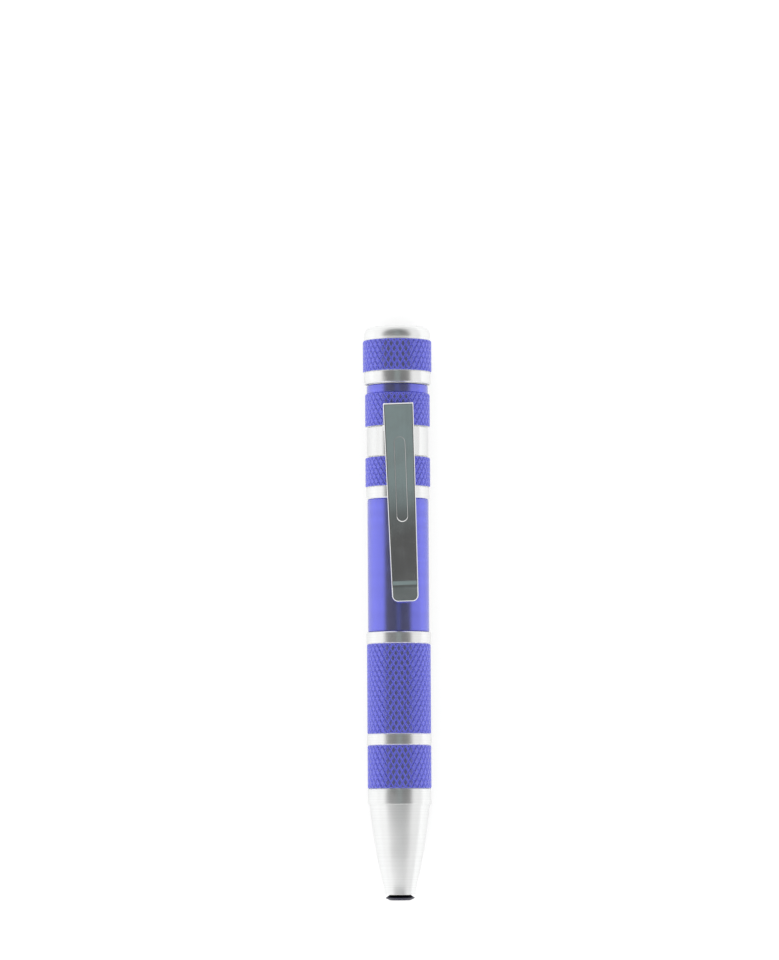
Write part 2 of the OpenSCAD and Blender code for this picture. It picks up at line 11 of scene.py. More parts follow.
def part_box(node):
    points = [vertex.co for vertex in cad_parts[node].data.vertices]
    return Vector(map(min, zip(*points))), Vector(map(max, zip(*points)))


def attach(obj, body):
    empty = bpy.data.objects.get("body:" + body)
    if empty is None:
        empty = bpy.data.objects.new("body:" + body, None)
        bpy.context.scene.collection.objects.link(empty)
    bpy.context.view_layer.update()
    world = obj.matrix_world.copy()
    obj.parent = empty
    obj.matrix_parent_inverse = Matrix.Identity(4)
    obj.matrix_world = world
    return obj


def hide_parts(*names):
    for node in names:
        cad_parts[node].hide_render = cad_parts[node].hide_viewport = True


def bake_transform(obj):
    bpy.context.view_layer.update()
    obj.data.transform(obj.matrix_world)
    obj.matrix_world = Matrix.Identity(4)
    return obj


bl_info = {
    "name": "Pocket screwdriver",
    "version": (1, 0, 0),
    "blender": (4, 5, 0),
    "location": "View3D > Sidebar > Screwdriver",
    "description": "Dresses the frame of a pocket screwdriver with its knurling, clip and finishes",
    "category": "Object",
}

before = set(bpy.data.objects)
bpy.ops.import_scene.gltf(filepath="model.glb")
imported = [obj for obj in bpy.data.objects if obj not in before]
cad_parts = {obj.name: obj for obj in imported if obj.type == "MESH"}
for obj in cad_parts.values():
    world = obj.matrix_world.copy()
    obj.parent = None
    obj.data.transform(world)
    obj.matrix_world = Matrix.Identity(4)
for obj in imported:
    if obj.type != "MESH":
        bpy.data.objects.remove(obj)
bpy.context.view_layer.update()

# Places that come from the frame, in metres: the axis runs along Y, and a station is a place along it
NOSE_LOW, NOSE_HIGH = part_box("nose_cone")
GRIP_LOW, GRIP_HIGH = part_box("grip_barrel")
UPPER_LOW, UPPER_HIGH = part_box("upper_barrel")
BAND_LOW, BAND_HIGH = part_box("clip_band")
ARM_LOW, ARM_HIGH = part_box("clip_arm")
CAP_LOW, CAP_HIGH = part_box("tail_cap")
SOCKET_LOW, SOCKET_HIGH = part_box("bit_socket")
MAGNET_LOW, MAGNET_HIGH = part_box("socket_magnet")
PLUG_LOW, PLUG_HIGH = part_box("cap_plug")
SCREW_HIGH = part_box("swivel_screw")[1]
AXIS_HEIGHT = (CAP_LOW.z + CAP_HIGH.z) / 2
AXIS_POINT = Vector((0, 0, AXIS_HEIGHT))
BARREL_AXIS = Vector((0, 1, 0))

# Turns and tolerances
FULL_TURN = 2 * math.pi
QUARTER_TURN = math.pi / 2
HEX_TURN = FULL_TURN / 6
SHARP_ANGLE = math.radians(24)
MERGE_DISTANCE = 1e-6

# Counts of the meshes
TURNED_STEPS = 128
NOSE_STEPS = 24
DOME_STEPS = 16
CROWN_STEPS = 10
HEX_STEPS = 96
STRIP_COLUMNS = 36
BAND_COLUMNS = 20
JOGGLE_STEPS = 14
FOLD_STEPS = 18
CREST_STEPS = 14
WING_STEPS = 150
EDGE_SEGMENTS = 5
RIB_CUTS = 2

# Rows of the clip's strip along its arm and along its lip, in metres
ROW_STEP = 0.00025
LIP_STEP = 0.00006

# Curve of the socket's flange, gap round the nose's spigot in metres, and the bore for the screw as a share
# of the bore over the plug's boss
CROWN_POWER = 1.1
SPIGOT_GAP = 0.000025
SCREW_SHARE = 0.25

# How far the mesh is refined outside and inside the rib's outline, in widths of the rib's edge
RIB_OUTSIDE = 2
RIB_INSIDE = 3

# Material slots of the pieces with knurled bands
BARE_SLOT, KNURL_SLOT, BORE_SLOT, PLAIN_SLOT = range(4)

# Height of the picture in pixels, long side of the camera's sensor in millimetres, and its sight in metres
IMAGE_HEIGHT = 960
SENSOR_LONG_SIDE = 36
FAR_CLIP = 32

# Directions and tones of the tent round the scene, as parts of a unit direction
OPENING_LEFT = 0.86
OPENING_RIGHT = 0.79
OPENING_TAIL = 0.84
OPENING_NOSE = 0.27
OPENING_INNER = 0.8
OPENING_OUTER = 1.06
PATCH_OFFSET = 0.21
PATCH_ACROSS = 0.2
PATCH_ALONG = 0.22
PATCH_INNER = 0.85
PATCH_OUTER = 1.05
VEIL_START = 0.5
VEIL_END = 0.6
HORIZON_FADE = 0.1
SIDE_FADE = 0.5
OPENING_COLOUR = (0.1, 0.1, 0.1)
VEIL_COLOUR = (0.118, 0.134, 0.134)
PATCH_COLOUR = (0.232, 0.29, 0.29)
LEFT_COLOUR = (1.0, 1.0, 1.0)
RIGHT_COLOUR = (0.86, 0.86, 0.86)

# Plans of the finishes. Each has values for its shader and for its node groups. Its tone, roughness and bump
# each follow one output of the groups: the tone through a ramp if it has one, between two factors of the
# base colour; the roughness between two values; the bump with a depth in metres

# Dyed aluminium under a hazy coat, which both violet finishes share
ANODISED = {"Metallic": 1, "Coat Weight": 1, "Coat Roughness": 0.6, "Coat IOR": 2.2}
# Anodised knurling, rough in its grooves and smoother on its crests; its colour carries a painted highlight,
# paler in the grooves and deeper on the crests
KNURLING = {
    "shader": ANODISED,
    "groups": {"Handling": {"Smudge Scale": 420}},
    "tone": "Crest", "tones": (1.12, 0.95),
    "rough": "Crest", "roughness": (0.85, 0.27),
    "bump": "Speck", "depth": 0.000002,
}
# Steel ground along its length, with paler smudges
GROUND_STEEL = {
    "shader": {"Metallic": 1},
    "groups": {"Brushed grain": {"Across": 14000, "Along": 420}, "Handling": {"Smudge Scale": 520}},
    "tone": "Smudge", "tones": (0.86, 1.06),
    "rough": "Grain",
    "bump": "Grain", "depth": 0.0000015,
}
# Moulded plastic or rubber with a fine grain
MOULDED = {
    "shader": {},
    "groups": {"Handling": {"Smudge Scale": 340, "Speck Scale": 5200}},
    "tone": "Smudge", "tones": (0.8, 1.15),
    "rough": "Smudge",
    "bump": "Speck",
}
# The finishes by the names of their materials, which differ from those of the frame's own materials
FINISHES = {
    # Smooth anodised aluminium with faint lathe lines and smudges
    "violet_plain": {
        "colour": "violet",
        "shader": ANODISED,
        "groups": {"Turned marks": {"Lines": 4200}, "Handling": {}},
        "tone": "Broad", "ramp": (0.3, 0.7), "tones": (0.94, 1.05),
        "rough": "Smudge", "roughness": (0.17, 0.24),
        "bump": "Fine", "depth": 0.0000008,
    },
    # Bare aluminium with the lines of its turning
    "bare_turned": {
        "colour": "bare",
        "shader": {"Metallic": 1, "Anisotropic": 0.7, "Anisotropic Rotation": 0.25},
        "groups": {"Turned marks": {"Lines": 3600}, "Handling": {}},
        "tone": "Fine", "ramp": (0.32, 0.68), "tones": (0.96, 1.02),
        "rough": "Smudge", "roughness": (0.28, 0.35),
        "bump": "Fine", "depth": 0.0000016,
    },
    # Rougher aluminium inside the bores, with painted shade that darkens its colour
    "bore_metal": {
        "colour": "bare",
        "shader": {"Metallic": 1, "Roughness": 0.4},
        "groups": {"Turned marks": {"Lines": 2600}},
        "tone": "Fine", "ramp": (0.3, 0.7), "tones": (0.58, 0.74),
        "bump": "Fine", "depth": 0.000006,
    },
    # Bright rolled sheet with a grain along its length
    "clip_steel": {
        "colour": "clip",
        "shader": {"Metallic": 1},
        "groups": {"Brushed grain": {}, "Handling": {"Smudge Scale": 220}},
        "tone": "Streak", "ramp": (0.3, 0.7), "tones": (0.98, 1.02),
        "rough": "Smudge", "roughness": (0.12, 0.16),
        "bump": "Grain", "depth": 0.0000005,
    },
    "socket_black": {**GROUND_STEEL, "colour": "black", "roughness": (0.3, 0.45)},
    "magnet_nickel": {**GROUND_STEEL, "colour": "nickel", "roughness": (0.15, 0.25)},
    "holder_moulded": {**MOULDED, "colour": "holder", "roughness": (0.4, 0.55), "depth": 0.000006},
    "washer_moulded": {**MOULDED, "colour": "washer", "roughness": (0.35, 0.5), "depth": 0.000003},
    "o_ring_rubber": {**MOULDED, "colour": "rubber", "roughness": (0.45, 0.65), "depth": 0.000004},
}


def length(label, description, default):
    """Length in metres that a user may change"""
    return FloatProperty(name=label, description=description, default=default, min=0, precision=5,
                         unit="LENGTH")


def share(label, description, default):
    """Share between zero and one"""
    return FloatProperty(name=label, description=description, default=default, min=0, max=1,
                         subtype="FACTOR")


def angle(label, description, default):
    """Angle, given in degrees"""
    return FloatProperty(name=label, description=description, default=math.radians(default), subtype="ANGLE")


def colour(label, description, default):
    """Linear colour"""
    return FloatVectorProperty(name=label, description=description, default=default, size=3, min=0, max=1,
                               subtype="COLOR")


class ScrewdriverNoseSizes(bpy.types.PropertyGroup):
    """Sizes of the turned nose"""

    tip_diameter: length("Tip diameter", "Diameter of the nose where its land meets the cone", 0.0083)
    land_length: length("Land length", "Length of the narrow land at the mouth", 0.0018)
    land_taper: length("Land taper", "How far the land narrows to the mouth, at its radius", 0.0002)
    base_diameter: length("Base diameter", "Diameter of the cone below its shoulder", 0.0151)
    swell: length("Swell", "How far the side bulges past a straight cone", 0.0003)
    collar_length: length("Collar length", "Length of the plain collar above the shoulder", 0.004)
    edge: length("Edge", "Broken edge at the mouth and at the shoulder", 0.00007)
    spigot_length: length("Spigot length", "Length of the spigot inside the grip", 0.0045)
    hex_across: length("Hex across flats", "Width of the socket's hexagonal hole across its flats", 0.0041)
    flange_diameter: length("Flange diameter", "Diameter of the socket's flange where it is widest", 0.0075)
    flange_middle: share("Flange middle", "Where the flange is widest, from its front to the mouth", 0.45)
    neck_diameter: length("Neck diameter", "Diameter of the socket between its flange and the mouth", 0.0052)
    lead_in: length("Lead-in", "Width of the lead-in at the hole", 0.0001)
    magnet_gap: length("Magnet gap", "Gap between the magnet and its seat", 0.00002)


class ScrewdriverBarrelSizes(bpy.types.PropertyGroup):
    """Sizes of the two barrels and of their knurling"""

    bore: length("Bore", "Bore of both barrels", 0.0134)
    chamfer: length("Chamfer", "Chamfer at the ends of each turned band", 0.00025)
    knurl_diameter: length("Grip knurl diameter", "Diameter over the crests of the grip's knurling", 0.016)
    low_knurl_length: length("Low knurl length", "Knurled band next to the nose", 0.0107)
    low_ring_length: length("Low ring length", "Turned ring between the knurled bands", 0.003)
    main_knurl_length: length("Main knurl length", "Long knurled band of the grip", 0.0224)
    tube_diameter: length("Tube diameter", "Diameter of the smooth tube", 0.0154)
    tube_length: length("Tube length", "Length of the smooth tube", 0.0335)
    upper_ring_diameter: length("Upper ring diameter", "Diameter of the ring below the clip", 0.0158)
    upper_ring_length: length("Upper ring length", "Length of the ring below the clip", 0.0031)
    below_clip_length: length("Knurl below clip", "Knurled band below the clip's seat", 0.0073)
    clip_seat_diameter: length("Clip seat diameter", "Diameter of the seat under the clip's band", 0.0144)
    clip_seat_length: length("Clip seat length", "Length of that seat", 0.0079)
    above_clip_length: length("Knurl above clip", "Knurled band above the clip's seat", 0.0082)
    neck_diameter: length("Neck diameter", "Diameter of the plain neck below the cap", 0.0154)
    knurl_pitch: length("Knurl pitch", "Width of a diamond round the barrel", 0.00151)
    knurl_rise: length("Knurl rise", "Half the height of a diamond along the barrel", 0.00126)
    knurl_depth: length("Knurl depth", "Depth of the grooves between the diamonds", 0.00014)
    groove_half: length("Groove half width", "Half the width of a groove at the crests", 0.00025)


class ScrewdriverCapSizes(bpy.types.PropertyGroup):
    """Sizes of the tail cap"""

    ring_diameter: length("Ring diameter", "Diameter of the turned ring", 0.0168)
    ring_length: length("Ring length", "Length of the turned ring", 0.0031)
    knurl_length: length("Knurl length", "Length of the knurled band", 0.0079)
    dome_diameter: length("Dome diameter", "Diameter of the dome at its foot", 0.0167)
    dome_foot: length("Dome foot", "Length over which the dome swells from its foot", 0.001)
    dome_swell: length("Dome swell", "How far the dome is drawn in at its foot", 0.00016)
    top_diameter: length("Top diameter", "Diameter of the flat on top", 0.0138)
    seat_depth: length("Seat depth", "Depth of the recess over the plug's flange", 0.0016)
    boss_diameter: length("Boss diameter", "Diameter of the bore over the plug's boss", 0.0091)
    running_gap: length("Running gap", "Gap round the pieces that turn in the cap", 0.00005)
    boss_gap: length("Boss gap", "Gap above the plug's boss", 0.0002)


class ScrewdriverClipSizes(bpy.types.PropertyGroup):
    """Sizes of the pocket clip, a folded strip of sheet"""

    sheet: length("Sheet", "Thickness of the sheet", 0.0005)
    outer_edge: length("Outer edge", "Rounding of the edges on the face that shows along the arm", 0.00034)
    inner_edge: length("Inner edge", "Rounding of the edges on the other face", 0.0001)
    root_width: length("Root width", "Width of the strip at its fold", 0.0076)
    foot_width: length("Foot width", "Width of the strip at its lip", 0.0066)
    corner: length("Corner", "Radius of the lip's corners", 0.0017)
    fillet: length("Fillet", "Radius between the band and the strip", 0.0003)
    sink: length("Sink", "How far the strip starts below the face of the band", 0.00005)
    band_gap: length("Band gap", "Gap at the back of the band", 0.003)
    joggle: length("Joggle", "Length over which the root steps out", 0.0014)
    fold_gap: length("Fold gap", "Gap between the root and the arm inside the fold", 0.0007)
    clearance: length("Clearance", "Gap between the clip and the barrel", 0.00015)
    knee_reach: length("Knee reach", "Distance from the lip's end to the knee", 0.0163)
    knee_ease: length("Knee ease", "Half the length over which the knee bends", 0.0005)
    bow_reach: length("Bow reach", "Distance from the knee to the middle of the arm's bow", 0.0065)
    bow_ease: length("Bow ease", "Half the length over which the arm bows", 0.006)
    bow_angle: angle("Bow angle", "Slope between the bow and the knee", 3.5)
    crest_reach: length("Crest reach", "Distance from the lip's end to the crest", 0.0051)
    crest_radius: length("Crest radius", "Radius of the crest at the middle of the sheet", 0.005)
    knee_angle: angle("Knee angle", "Slope between the knee and the crest", 4.5)
    lip_angle: angle("Lip angle", "Slope of the lip", 20)
    lean: angle("Lean", "Lean of the arm to one side", 1.8)
    shift: length("Shift", "How far the strip sits to one side", 0.00018)
    rib_width: length("Rib width", "Width of the pressed rib", 0.0029)
    rib_length: length("Rib length", "Length of the pressed rib", 0.0214)
    rib_start: length("Rib start", "Distance from the fold's centre to the rib", 0.0078)
    rib_height: length("Rib height", "Height of the rib", 0.00008)
    rib_edge: length("Rib edge", "Width of the rib's sloping edge", 0.0002)


class ScrewdriverFinishes(bpy.types.PropertyGroup):
    """Colours of the finishes"""

    violet: colour("Violet", "Dye of the anodised aluminium", (0.125, 0.135, 0.8))
    bare: colour("Bare aluminium", "Turned aluminium", (0.94, 0.945, 0.94))
    clip: colour("Clip steel", "Bright rolled spring steel", (0.88, 0.885, 0.88))
    black: colour("Black steel", "Blackened steel of the socket", (0.03, 0.03, 0.055))
    nickel: colour("Nickel", "Plating of the magnet", (0.66, 0.64, 0.6))
    holder: colour("Holder plastic", "Moulded plastic of the bit holders", (0.022, 0.023, 0.026))
    washer: colour("Washer plastic", "Natural plastic of the thrust washer", (0.72, 0.69, 0.6))
    rubber: colour("Rubber", "Rubber of the O-ring", (0.012, 0.012, 0.013))


class ScrewdriverStageSizes(bpy.types.PropertyGroup):
    """Camera, floor and light"""

    distance: length("Camera distance", "Distance from the camera to the barrel's axis", 1.25)
    pixels_per_metre: FloatProperty(name="Pixels per metre", default=3970, min=1,
                                    description="Scale of the picture at the barrel's axis")
    aim_x: FloatProperty(name="Aim across", default=-0.0021, precision=5, unit="LENGTH",
                         description="Where the middle of the picture lies across the barrel")
    aim_y: FloatProperty(name="Aim along", default=0.03355, precision=5, unit="LENGTH",
                         description="Where the middle of the picture lies along the barrel")
    tilt: angle("Tilt", "Tilt of the camera towards the nose, from straight above", 4.3)
    roll: angle("Roll", "Turn of the camera about its own line of sight", -0.33)
    floor_size: length("Floor size", "Width of the floor", 8)
    floor_colour: colour("Floor colour", "Colour of the floor", (0.9, 0.9, 0.9))
    floor_glow: share("Floor glow", "White that the floor adds for the camera", 0.68)
    metal_glow: share("Metal glow", "White that the floor adds in the metal's reflections", 0.53)


def material_with_shader(name):
    """New material with its node tree and its Principled shader"""
    material = bpy.data.materials.new(name)
    material.use_nodes = True
    return material, material.node_tree, material.node_tree.nodes["Principled BSDF"]


def node_of(tree, kind, **settings):
    """New node of a kind, with its settings"""
    node = tree.nodes.new(kind)
    for name, value in settings.items():
        setattr(node, name, value)
    return node


def math_of(tree, operation, first, second=None, third=None):
    """Output of a Math node whose inputs are sockets or numbers"""
    node = node_of(tree, "ShaderNodeMath", operation=operation)
    for socket, value in zip(node.inputs, (first, second, third)):
        if isinstance(value, bpy.types.NodeSocket):
            tree.links.new(value, socket)
        elif value is not None:
            socket.default_value = value
    return node.outputs[0]


def ramp_of(tree, value, low, high, to_low=0.0, to_high=1.0):
    """Output of a smooth Map Range node"""
    node = node_of(tree, "ShaderNodeMapRange", interpolation_type="SMOOTHSTEP")
    tree.links.new(value, node.inputs["Value"])
    for name, number in zip(("From Min", "From Max", "To Min", "To Max"), (low, high, to_low, to_high)):
        node.inputs[name].default_value = number
    return node.outputs["Result"]


def mix_of(tree, factor, first, second):
    """Output of a colour mix whose inputs are sockets or colours"""
    node = node_of(tree, "ShaderNodeMix", data_type="RGBA")
    tree.links.new(factor, node.inputs["Factor"])
    for socket, value in zip((node.inputs[6], node.inputs[7]), (first, second)):
        if isinstance(value, bpy.types.NodeSocket):
            tree.links.new(value, socket)
        else:
            socket.default_value = (*value, 1)
    return node.outputs[2]


def bump_of(tree, shader, height, depth):
    """Bump of a depth in metres that feeds the shader's normal"""
    bump = node_of(tree, "ShaderNodeBump")
    bump.inputs["Strength"].default_value = 1
    bump.inputs["Distance"].default_value = depth
    tree.links.new(height, bump.inputs["Height"])
    tree.links.new(bump.outputs["Normal"], shader.inputs["Normal"])


def group_of(name, inputs, outputs):
    """New shader node group with named value sockets, and its two end nodes"""
    group = bpy.data.node_groups.new(name, "ShaderNodeTree")
    for label, default in inputs.items():
        socket = group.interface.new_socket(label, in_out="INPUT", socket_type="NodeSocketFloat")
        socket.default_value = default
    for label in outputs:
        group.interface.new_socket(label, in_out="OUTPUT", socket_type="NodeSocketFloat")
    start = node_of(group, "NodeGroupInput")
    end = node_of(group, "NodeGroupOutput")
    return group, start, end


def placed_group(tree, name, values):
    """Outputs by name of a group that is placed in a material with its own values"""
    node = node_of(tree, "ShaderNodeGroup", node_tree=bpy.data.node_groups[name])
    for label, value in values.items():
        node.inputs[label].default_value = value
    return {socket.name: socket for socket in node.outputs}


def turned_marks_group():
    """Fine lines that a lathe leaves round the axis, from the station alone"""
    group, start, end = group_of("Turned marks", {"Lines": 5000.0}, ("Fine", "Broad"))
    place = node_of(group, "ShaderNodeTexCoord")
    parts = node_of(group, "ShaderNodeSeparateXYZ")
    group.links.new(place.outputs["Object"], parts.inputs[0])
    along = math_of(group, "MULTIPLY", parts.outputs["Y"], start.outputs["Lines"])
    for label, stretch, detail in (("Fine", 1.0, 3.0), ("Broad", 0.14, 1.0)):
        noise = node_of(group, "ShaderNodeTexNoise", noise_dimensions="1D")
        noise.inputs["Scale"].default_value = stretch
        noise.inputs["Detail"].default_value = detail
        group.links.new(along, noise.inputs["W"])
        group.links.new(noise.outputs["Fac"], end.inputs[label])


def handling_group():
    """Soft smudges and small specks that handling leaves on a finish"""
    scales = {"Smudge Scale": 160.0, "Speck Scale": 2600.0}
    group, start, end = group_of("Handling", scales, ("Smudge", "Speck"))
    place = node_of(group, "ShaderNodeTexCoord")
    for label, detail, low, high in (("Smudge", 4.0, 0.38, 0.68), ("Speck", 1.0, 0.62, 0.74)):
        noise = node_of(group, "ShaderNodeTexNoise")
        noise.inputs["Detail"].default_value = detail
        group.links.new(place.outputs["Object"], noise.inputs["Vector"])
        group.links.new(start.outputs[label + " Scale"], noise.inputs["Scale"])
        group.links.new(ramp_of(group, noise.outputs["Fac"], low, high), end.inputs[label])


def brushed_grain_group():
    """Grain drawn out along the barrel, as on rolled sheet and ground shanks"""
    group, start, end = group_of("Brushed grain", {"Across": 9000.0, "Along": 160.0}, ("Grain", "Streak"))
    place = node_of(group, "ShaderNodeTexCoord")
    stretch = node_of(group, "ShaderNodeCombineXYZ")
    for axis, label in (("X", "Across"), ("Y", "Along"), ("Z", "Across")):
        group.links.new(start.outputs[label], stretch.inputs[axis])
    product = node_of(group, "ShaderNodeVectorMath", operation="MULTIPLY")
    group.links.new(place.outputs["Object"], product.inputs[0])
    group.links.new(stretch.outputs["Vector"], product.inputs[1])
    for label, scale in (("Grain", 1.0), ("Streak", 0.12)):
        noise = node_of(group, "ShaderNodeTexNoise")
        noise.inputs["Scale"].default_value = scale
        noise.inputs["Detail"].default_value = 2
        group.links.new(product.outputs["Vector"], noise.inputs["Vector"])
        group.links.new(noise.outputs["Fac"], end.inputs[label])


def crest_height_group():
    """How far a point lies up a groove's side, from its distance to the barrel's axis"""
    places = {"Axis Height": 0.0, "Crest Radius": 0.008, "Depth": 0.0003}
    group, start, end = group_of("Crest wear", places, ("Crest",))
    place = node_of(group, "ShaderNodeTexCoord")
    parts = node_of(group, "ShaderNodeSeparateXYZ")
    group.links.new(place.outputs["Object"], parts.inputs[0])
    up = math_of(group, "SUBTRACT", parts.outputs["Z"], start.outputs["Axis Height"])
    across = math_of(group, "MULTIPLY", parts.outputs["X"], parts.outputs["X"])
    radius = math_of(group, "SQRT", math_of(group, "MULTIPLY_ADD", up, up, across))
    below = math_of(group, "SUBTRACT", start.outputs["Crest Radius"], radius)
    drop = math_of(group, "DIVIDE", below, start.outputs["Depth"])
    group.links.new(ramp_of(group, drop, 0.0, 1.0, 1.0, 0.0), end.inputs["Crest"])


def toned(base, factor):
    """Colour made lighter or darker"""
    return tuple(min(1.0, part * factor) for part in base)


def made_finish(name, plan, base):
    """New material whose tone, roughness and bump follow the node groups of its plan"""
    material, tree, shader = material_with_shader(name)
    shader.inputs["Base Color"].default_value = (*base, 1)
    for label, value in plan["shader"].items():
        shader.inputs[label].default_value = value
    masks = {}
    for group, values in plan["groups"].items():
        masks.update(placed_group(tree, group, values))
    tone = masks[plan["tone"]]
    if "ramp" in plan:
        tone = ramp_of(tree, tone, *plan["ramp"])
    first, second = (toned(base, factor) for factor in plan["tones"])
    tree.links.new(mix_of(tree, tone, first, second), shader.inputs["Base Color"])
    if "rough" in plan:
        roughness = ramp_of(tree, masks[plan["rough"]], 0.0, 1.0, *plan["roughness"])
        tree.links.new(roughness, shader.inputs["Roughness"])
    if "Anisotropic" in plan["shader"]:
        round_axis = node_of(tree, "ShaderNodeTangent", direction_type="RADIAL", axis="Y")
        tree.links.new(round_axis.outputs["Tangent"], shader.inputs["Tangent"])
    bump_of(tree, shader, masks[plan["bump"]], plan["depth"])
    return material


def banded_finishes(context, name, crest, *more):
    """Finishes of a piece with knurled bands, in the order of their slots"""
    # The crest's height sets the knurl's painted highlight, which makes the grooves paler than the crests
    crest_sizes = {"Axis Height": AXIS_HEIGHT, "Crest Radius": crest / 2,
            "Depth": context.scene.screwdriver_barrel.knurl_depth}
    plan = {**KNURLING, "groups": {**KNURLING["groups"], "Crest wear": crest_sizes}}
    knurl = made_finish("violet_" + name + "_knurl", plan, context.scene.screwdriver_finishes.violet)
    shared = bpy.data.materials
    # The bores take the aluminium with painted shade
    return (shared["bare_turned"], knurl, shared["bore_metal"], *(shared[other] for other in more))


def turned_band(bm, outline, steps, finish, smooth=True):
    """Turns an outline of (radius, station) points about the barrel's axis and returns its faces"""
    before = set(bm.faces)
    points = [bm.verts.new((0, station, AXIS_HEIGHT + radius)) for radius, station in outline]
    edges = [bm.edges.new(pair) for pair in zip(points, points[1:])]
    bmesh.ops.spin(bm, geom=points + edges, cent=AXIS_POINT, axis=BARREL_AXIS, angle=FULL_TURN,
                   steps=steps, use_merge=True)
    faces = [face for face in bm.faces if face not in before]
    for face in faces:
        face.material_index = finish
        face.smooth = smooth
    return faces


def radius_of(vertex):
    """Distance of a vertex from the barrel's axis"""
    return math.hypot(vertex.co.x, vertex.co.z - AXIS_HEIGHT)


def set_radius(vertex, radius):
    """Moves a vertex to a distance from the barrel's axis"""
    grow = radius / radius_of(vertex)
    vertex.co.x *= grow
    vertex.co.z = AXIS_HEIGHT + (vertex.co.z - AXIS_HEIGHT) * grow


def knurled_band(bm, low, high, crest_radius, count, finish, sizes):
    """Turns a band and cuts it into raised diamonds with crossing grooves between them"""
    rows = max(2, round((high - low) / sizes.knurl_rise))
    rise = (high - low) / rows
    root_radius = crest_radius - sizes.knurl_depth
    before = set(bm.faces)
    outline = [(root_radius, low + rise * row) for row in range(rows + 1)]
    turned_band(bm, outline, 2 * count, finish, smooth=False)
    band_points = {vertex for face in bm.faces if face not in before for vertex in face.verts}
    centres = []
    corners = []
    for vertex in band_points:
        column = round(math.atan2(vertex.co.x, vertex.co.z - AXIS_HEIGHT) * count / math.pi)
        row = round((vertex.co.y - low) / rise)
        (centres if (column + row) % 2 else corners).append(vertex)
    bmesh.ops.connect_verts(bm, verts=corners)
    inner = [vertex for vertex in centres if low + rise / 2 < vertex.co.y < high - rise / 2]
    outer = [vertex for vertex in centres if vertex not in set(inner)]
    halving = [edge for vertex in outer for edge in vertex.link_edges
               if abs(edge.verts[0].co.y - edge.verts[1].co.y) > rise / 2]
    bmesh.ops.dissolve_verts(bm, verts=inner)
    bmesh.ops.dissolve_edges(bm, edges=halving, use_verts=False)
    diamonds = [face for face in bm.faces if face not in before]
    bmesh.ops.inset_individual(bm, faces=diamonds, thickness=sizes.groove_half, depth=0,
                               use_even_offset=True)
    for diamond in diamonds:
        for vertex in diamond.verts:
            set_radius(vertex, crest_radius)
    for face in bm.faces:
        if face not in before:
            face.material_index = finish
            face.smooth = False
    return root_radius


def plain_band(bm, low, high, radius, steps, finish, chamfer):
    """Turns a plain band with a chamfer at each end"""
    rim = radius - chamfer
    outline = [(rim, low), (radius, low + chamfer), (radius, high - chamfer), (rim, high)]
    turned_band(bm, outline, steps, finish)
    return rim


def finished_piece(bm, name, materials, body, slot, *nodes):
    """Closes a bmesh, makes it an object with its finishes and puts it in the place of CAD nodes"""
    bmesh.ops.remove_doubles(bm, verts=bm.verts[:], dist=MERGE_DISTANCE)
    bmesh.ops.dissolve_degenerate(bm, edges=bm.edges[:], dist=MERGE_DISTANCE)
    bmesh.ops.recalc_face_normals(bm, faces=bm.faces[:])
    for edge in bm.edges:
        edge.smooth = edge.calc_face_angle(0.0) < SHARP_ANGLE
    mesh = bpy.data.meshes.new(name)
    bm.to_mesh(mesh)
    bm.free()
    piece = bpy.data.objects.new(name, mesh)
    bpy.context.scene.collection.objects.link(piece)
    for material in materials:
        mesh.materials.append(material)
    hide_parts(*nodes)
    if body:
        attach(piece, body)
    return piece


def stacked_bands(bm, start, bands, count, sizes):
    """Stacks bands along the barrel with flat steps between them, and returns the radii of its two rims"""
    steps = 2 * count
    station = start
    first_rim = None
    last_rim = None
    for kind, band_length, diameter in bands:
        end = station + band_length
        if kind == "knurl":
            rim = knurled_band(bm, station, end, diameter / 2, count, KNURL_SLOT, sizes)
        else:
            finish = BARE_SLOT if kind == "ring" else PLAIN_SLOT
            rim = plain_band(bm, station, end, diameter / 2, steps, finish, sizes.chamfer)
        if last_rim is None:
            first_rim = rim
        elif abs(rim - last_rim) > MERGE_DISTANCE:
            turned_band(bm, [(last_rim, station), (rim, station)], steps, BARE_SLOT)
        last_rim = rim
        station = end
    return first_rim, last_rim


def diamonds_round(diameter, sizes):
    """How many diamonds go round a band"""
    return round(math.pi * diameter / sizes.knurl_pitch)


def open_barrel(context, name, low, high, crest, bands, last, *more):
    """Stacks a barrel's bands, with a last one that fills its length, and opens its bore"""
    sizes = context.scene.screwdriver_barrel
    kind, diameter = last
    rest = high - low - sum(band[1] for band in bands)
    count = diamonds_round(crest, sizes)
    bm = bmesh.new()
    first_rim, last_rim = stacked_bands(bm, low, bands + [(kind, rest, diameter)], count, sizes)
    bore = sizes.bore / 2
    turned_band(bm, [(last_rim, high), (bore, high), (bore, low), (first_rim, low)], 2 * count, BORE_SLOT)
    materials = banded_finishes(context, name, crest, *more)
    finished_piece(bm, name, materials, "barrel", "violet_aluminium", name + "_barrel")


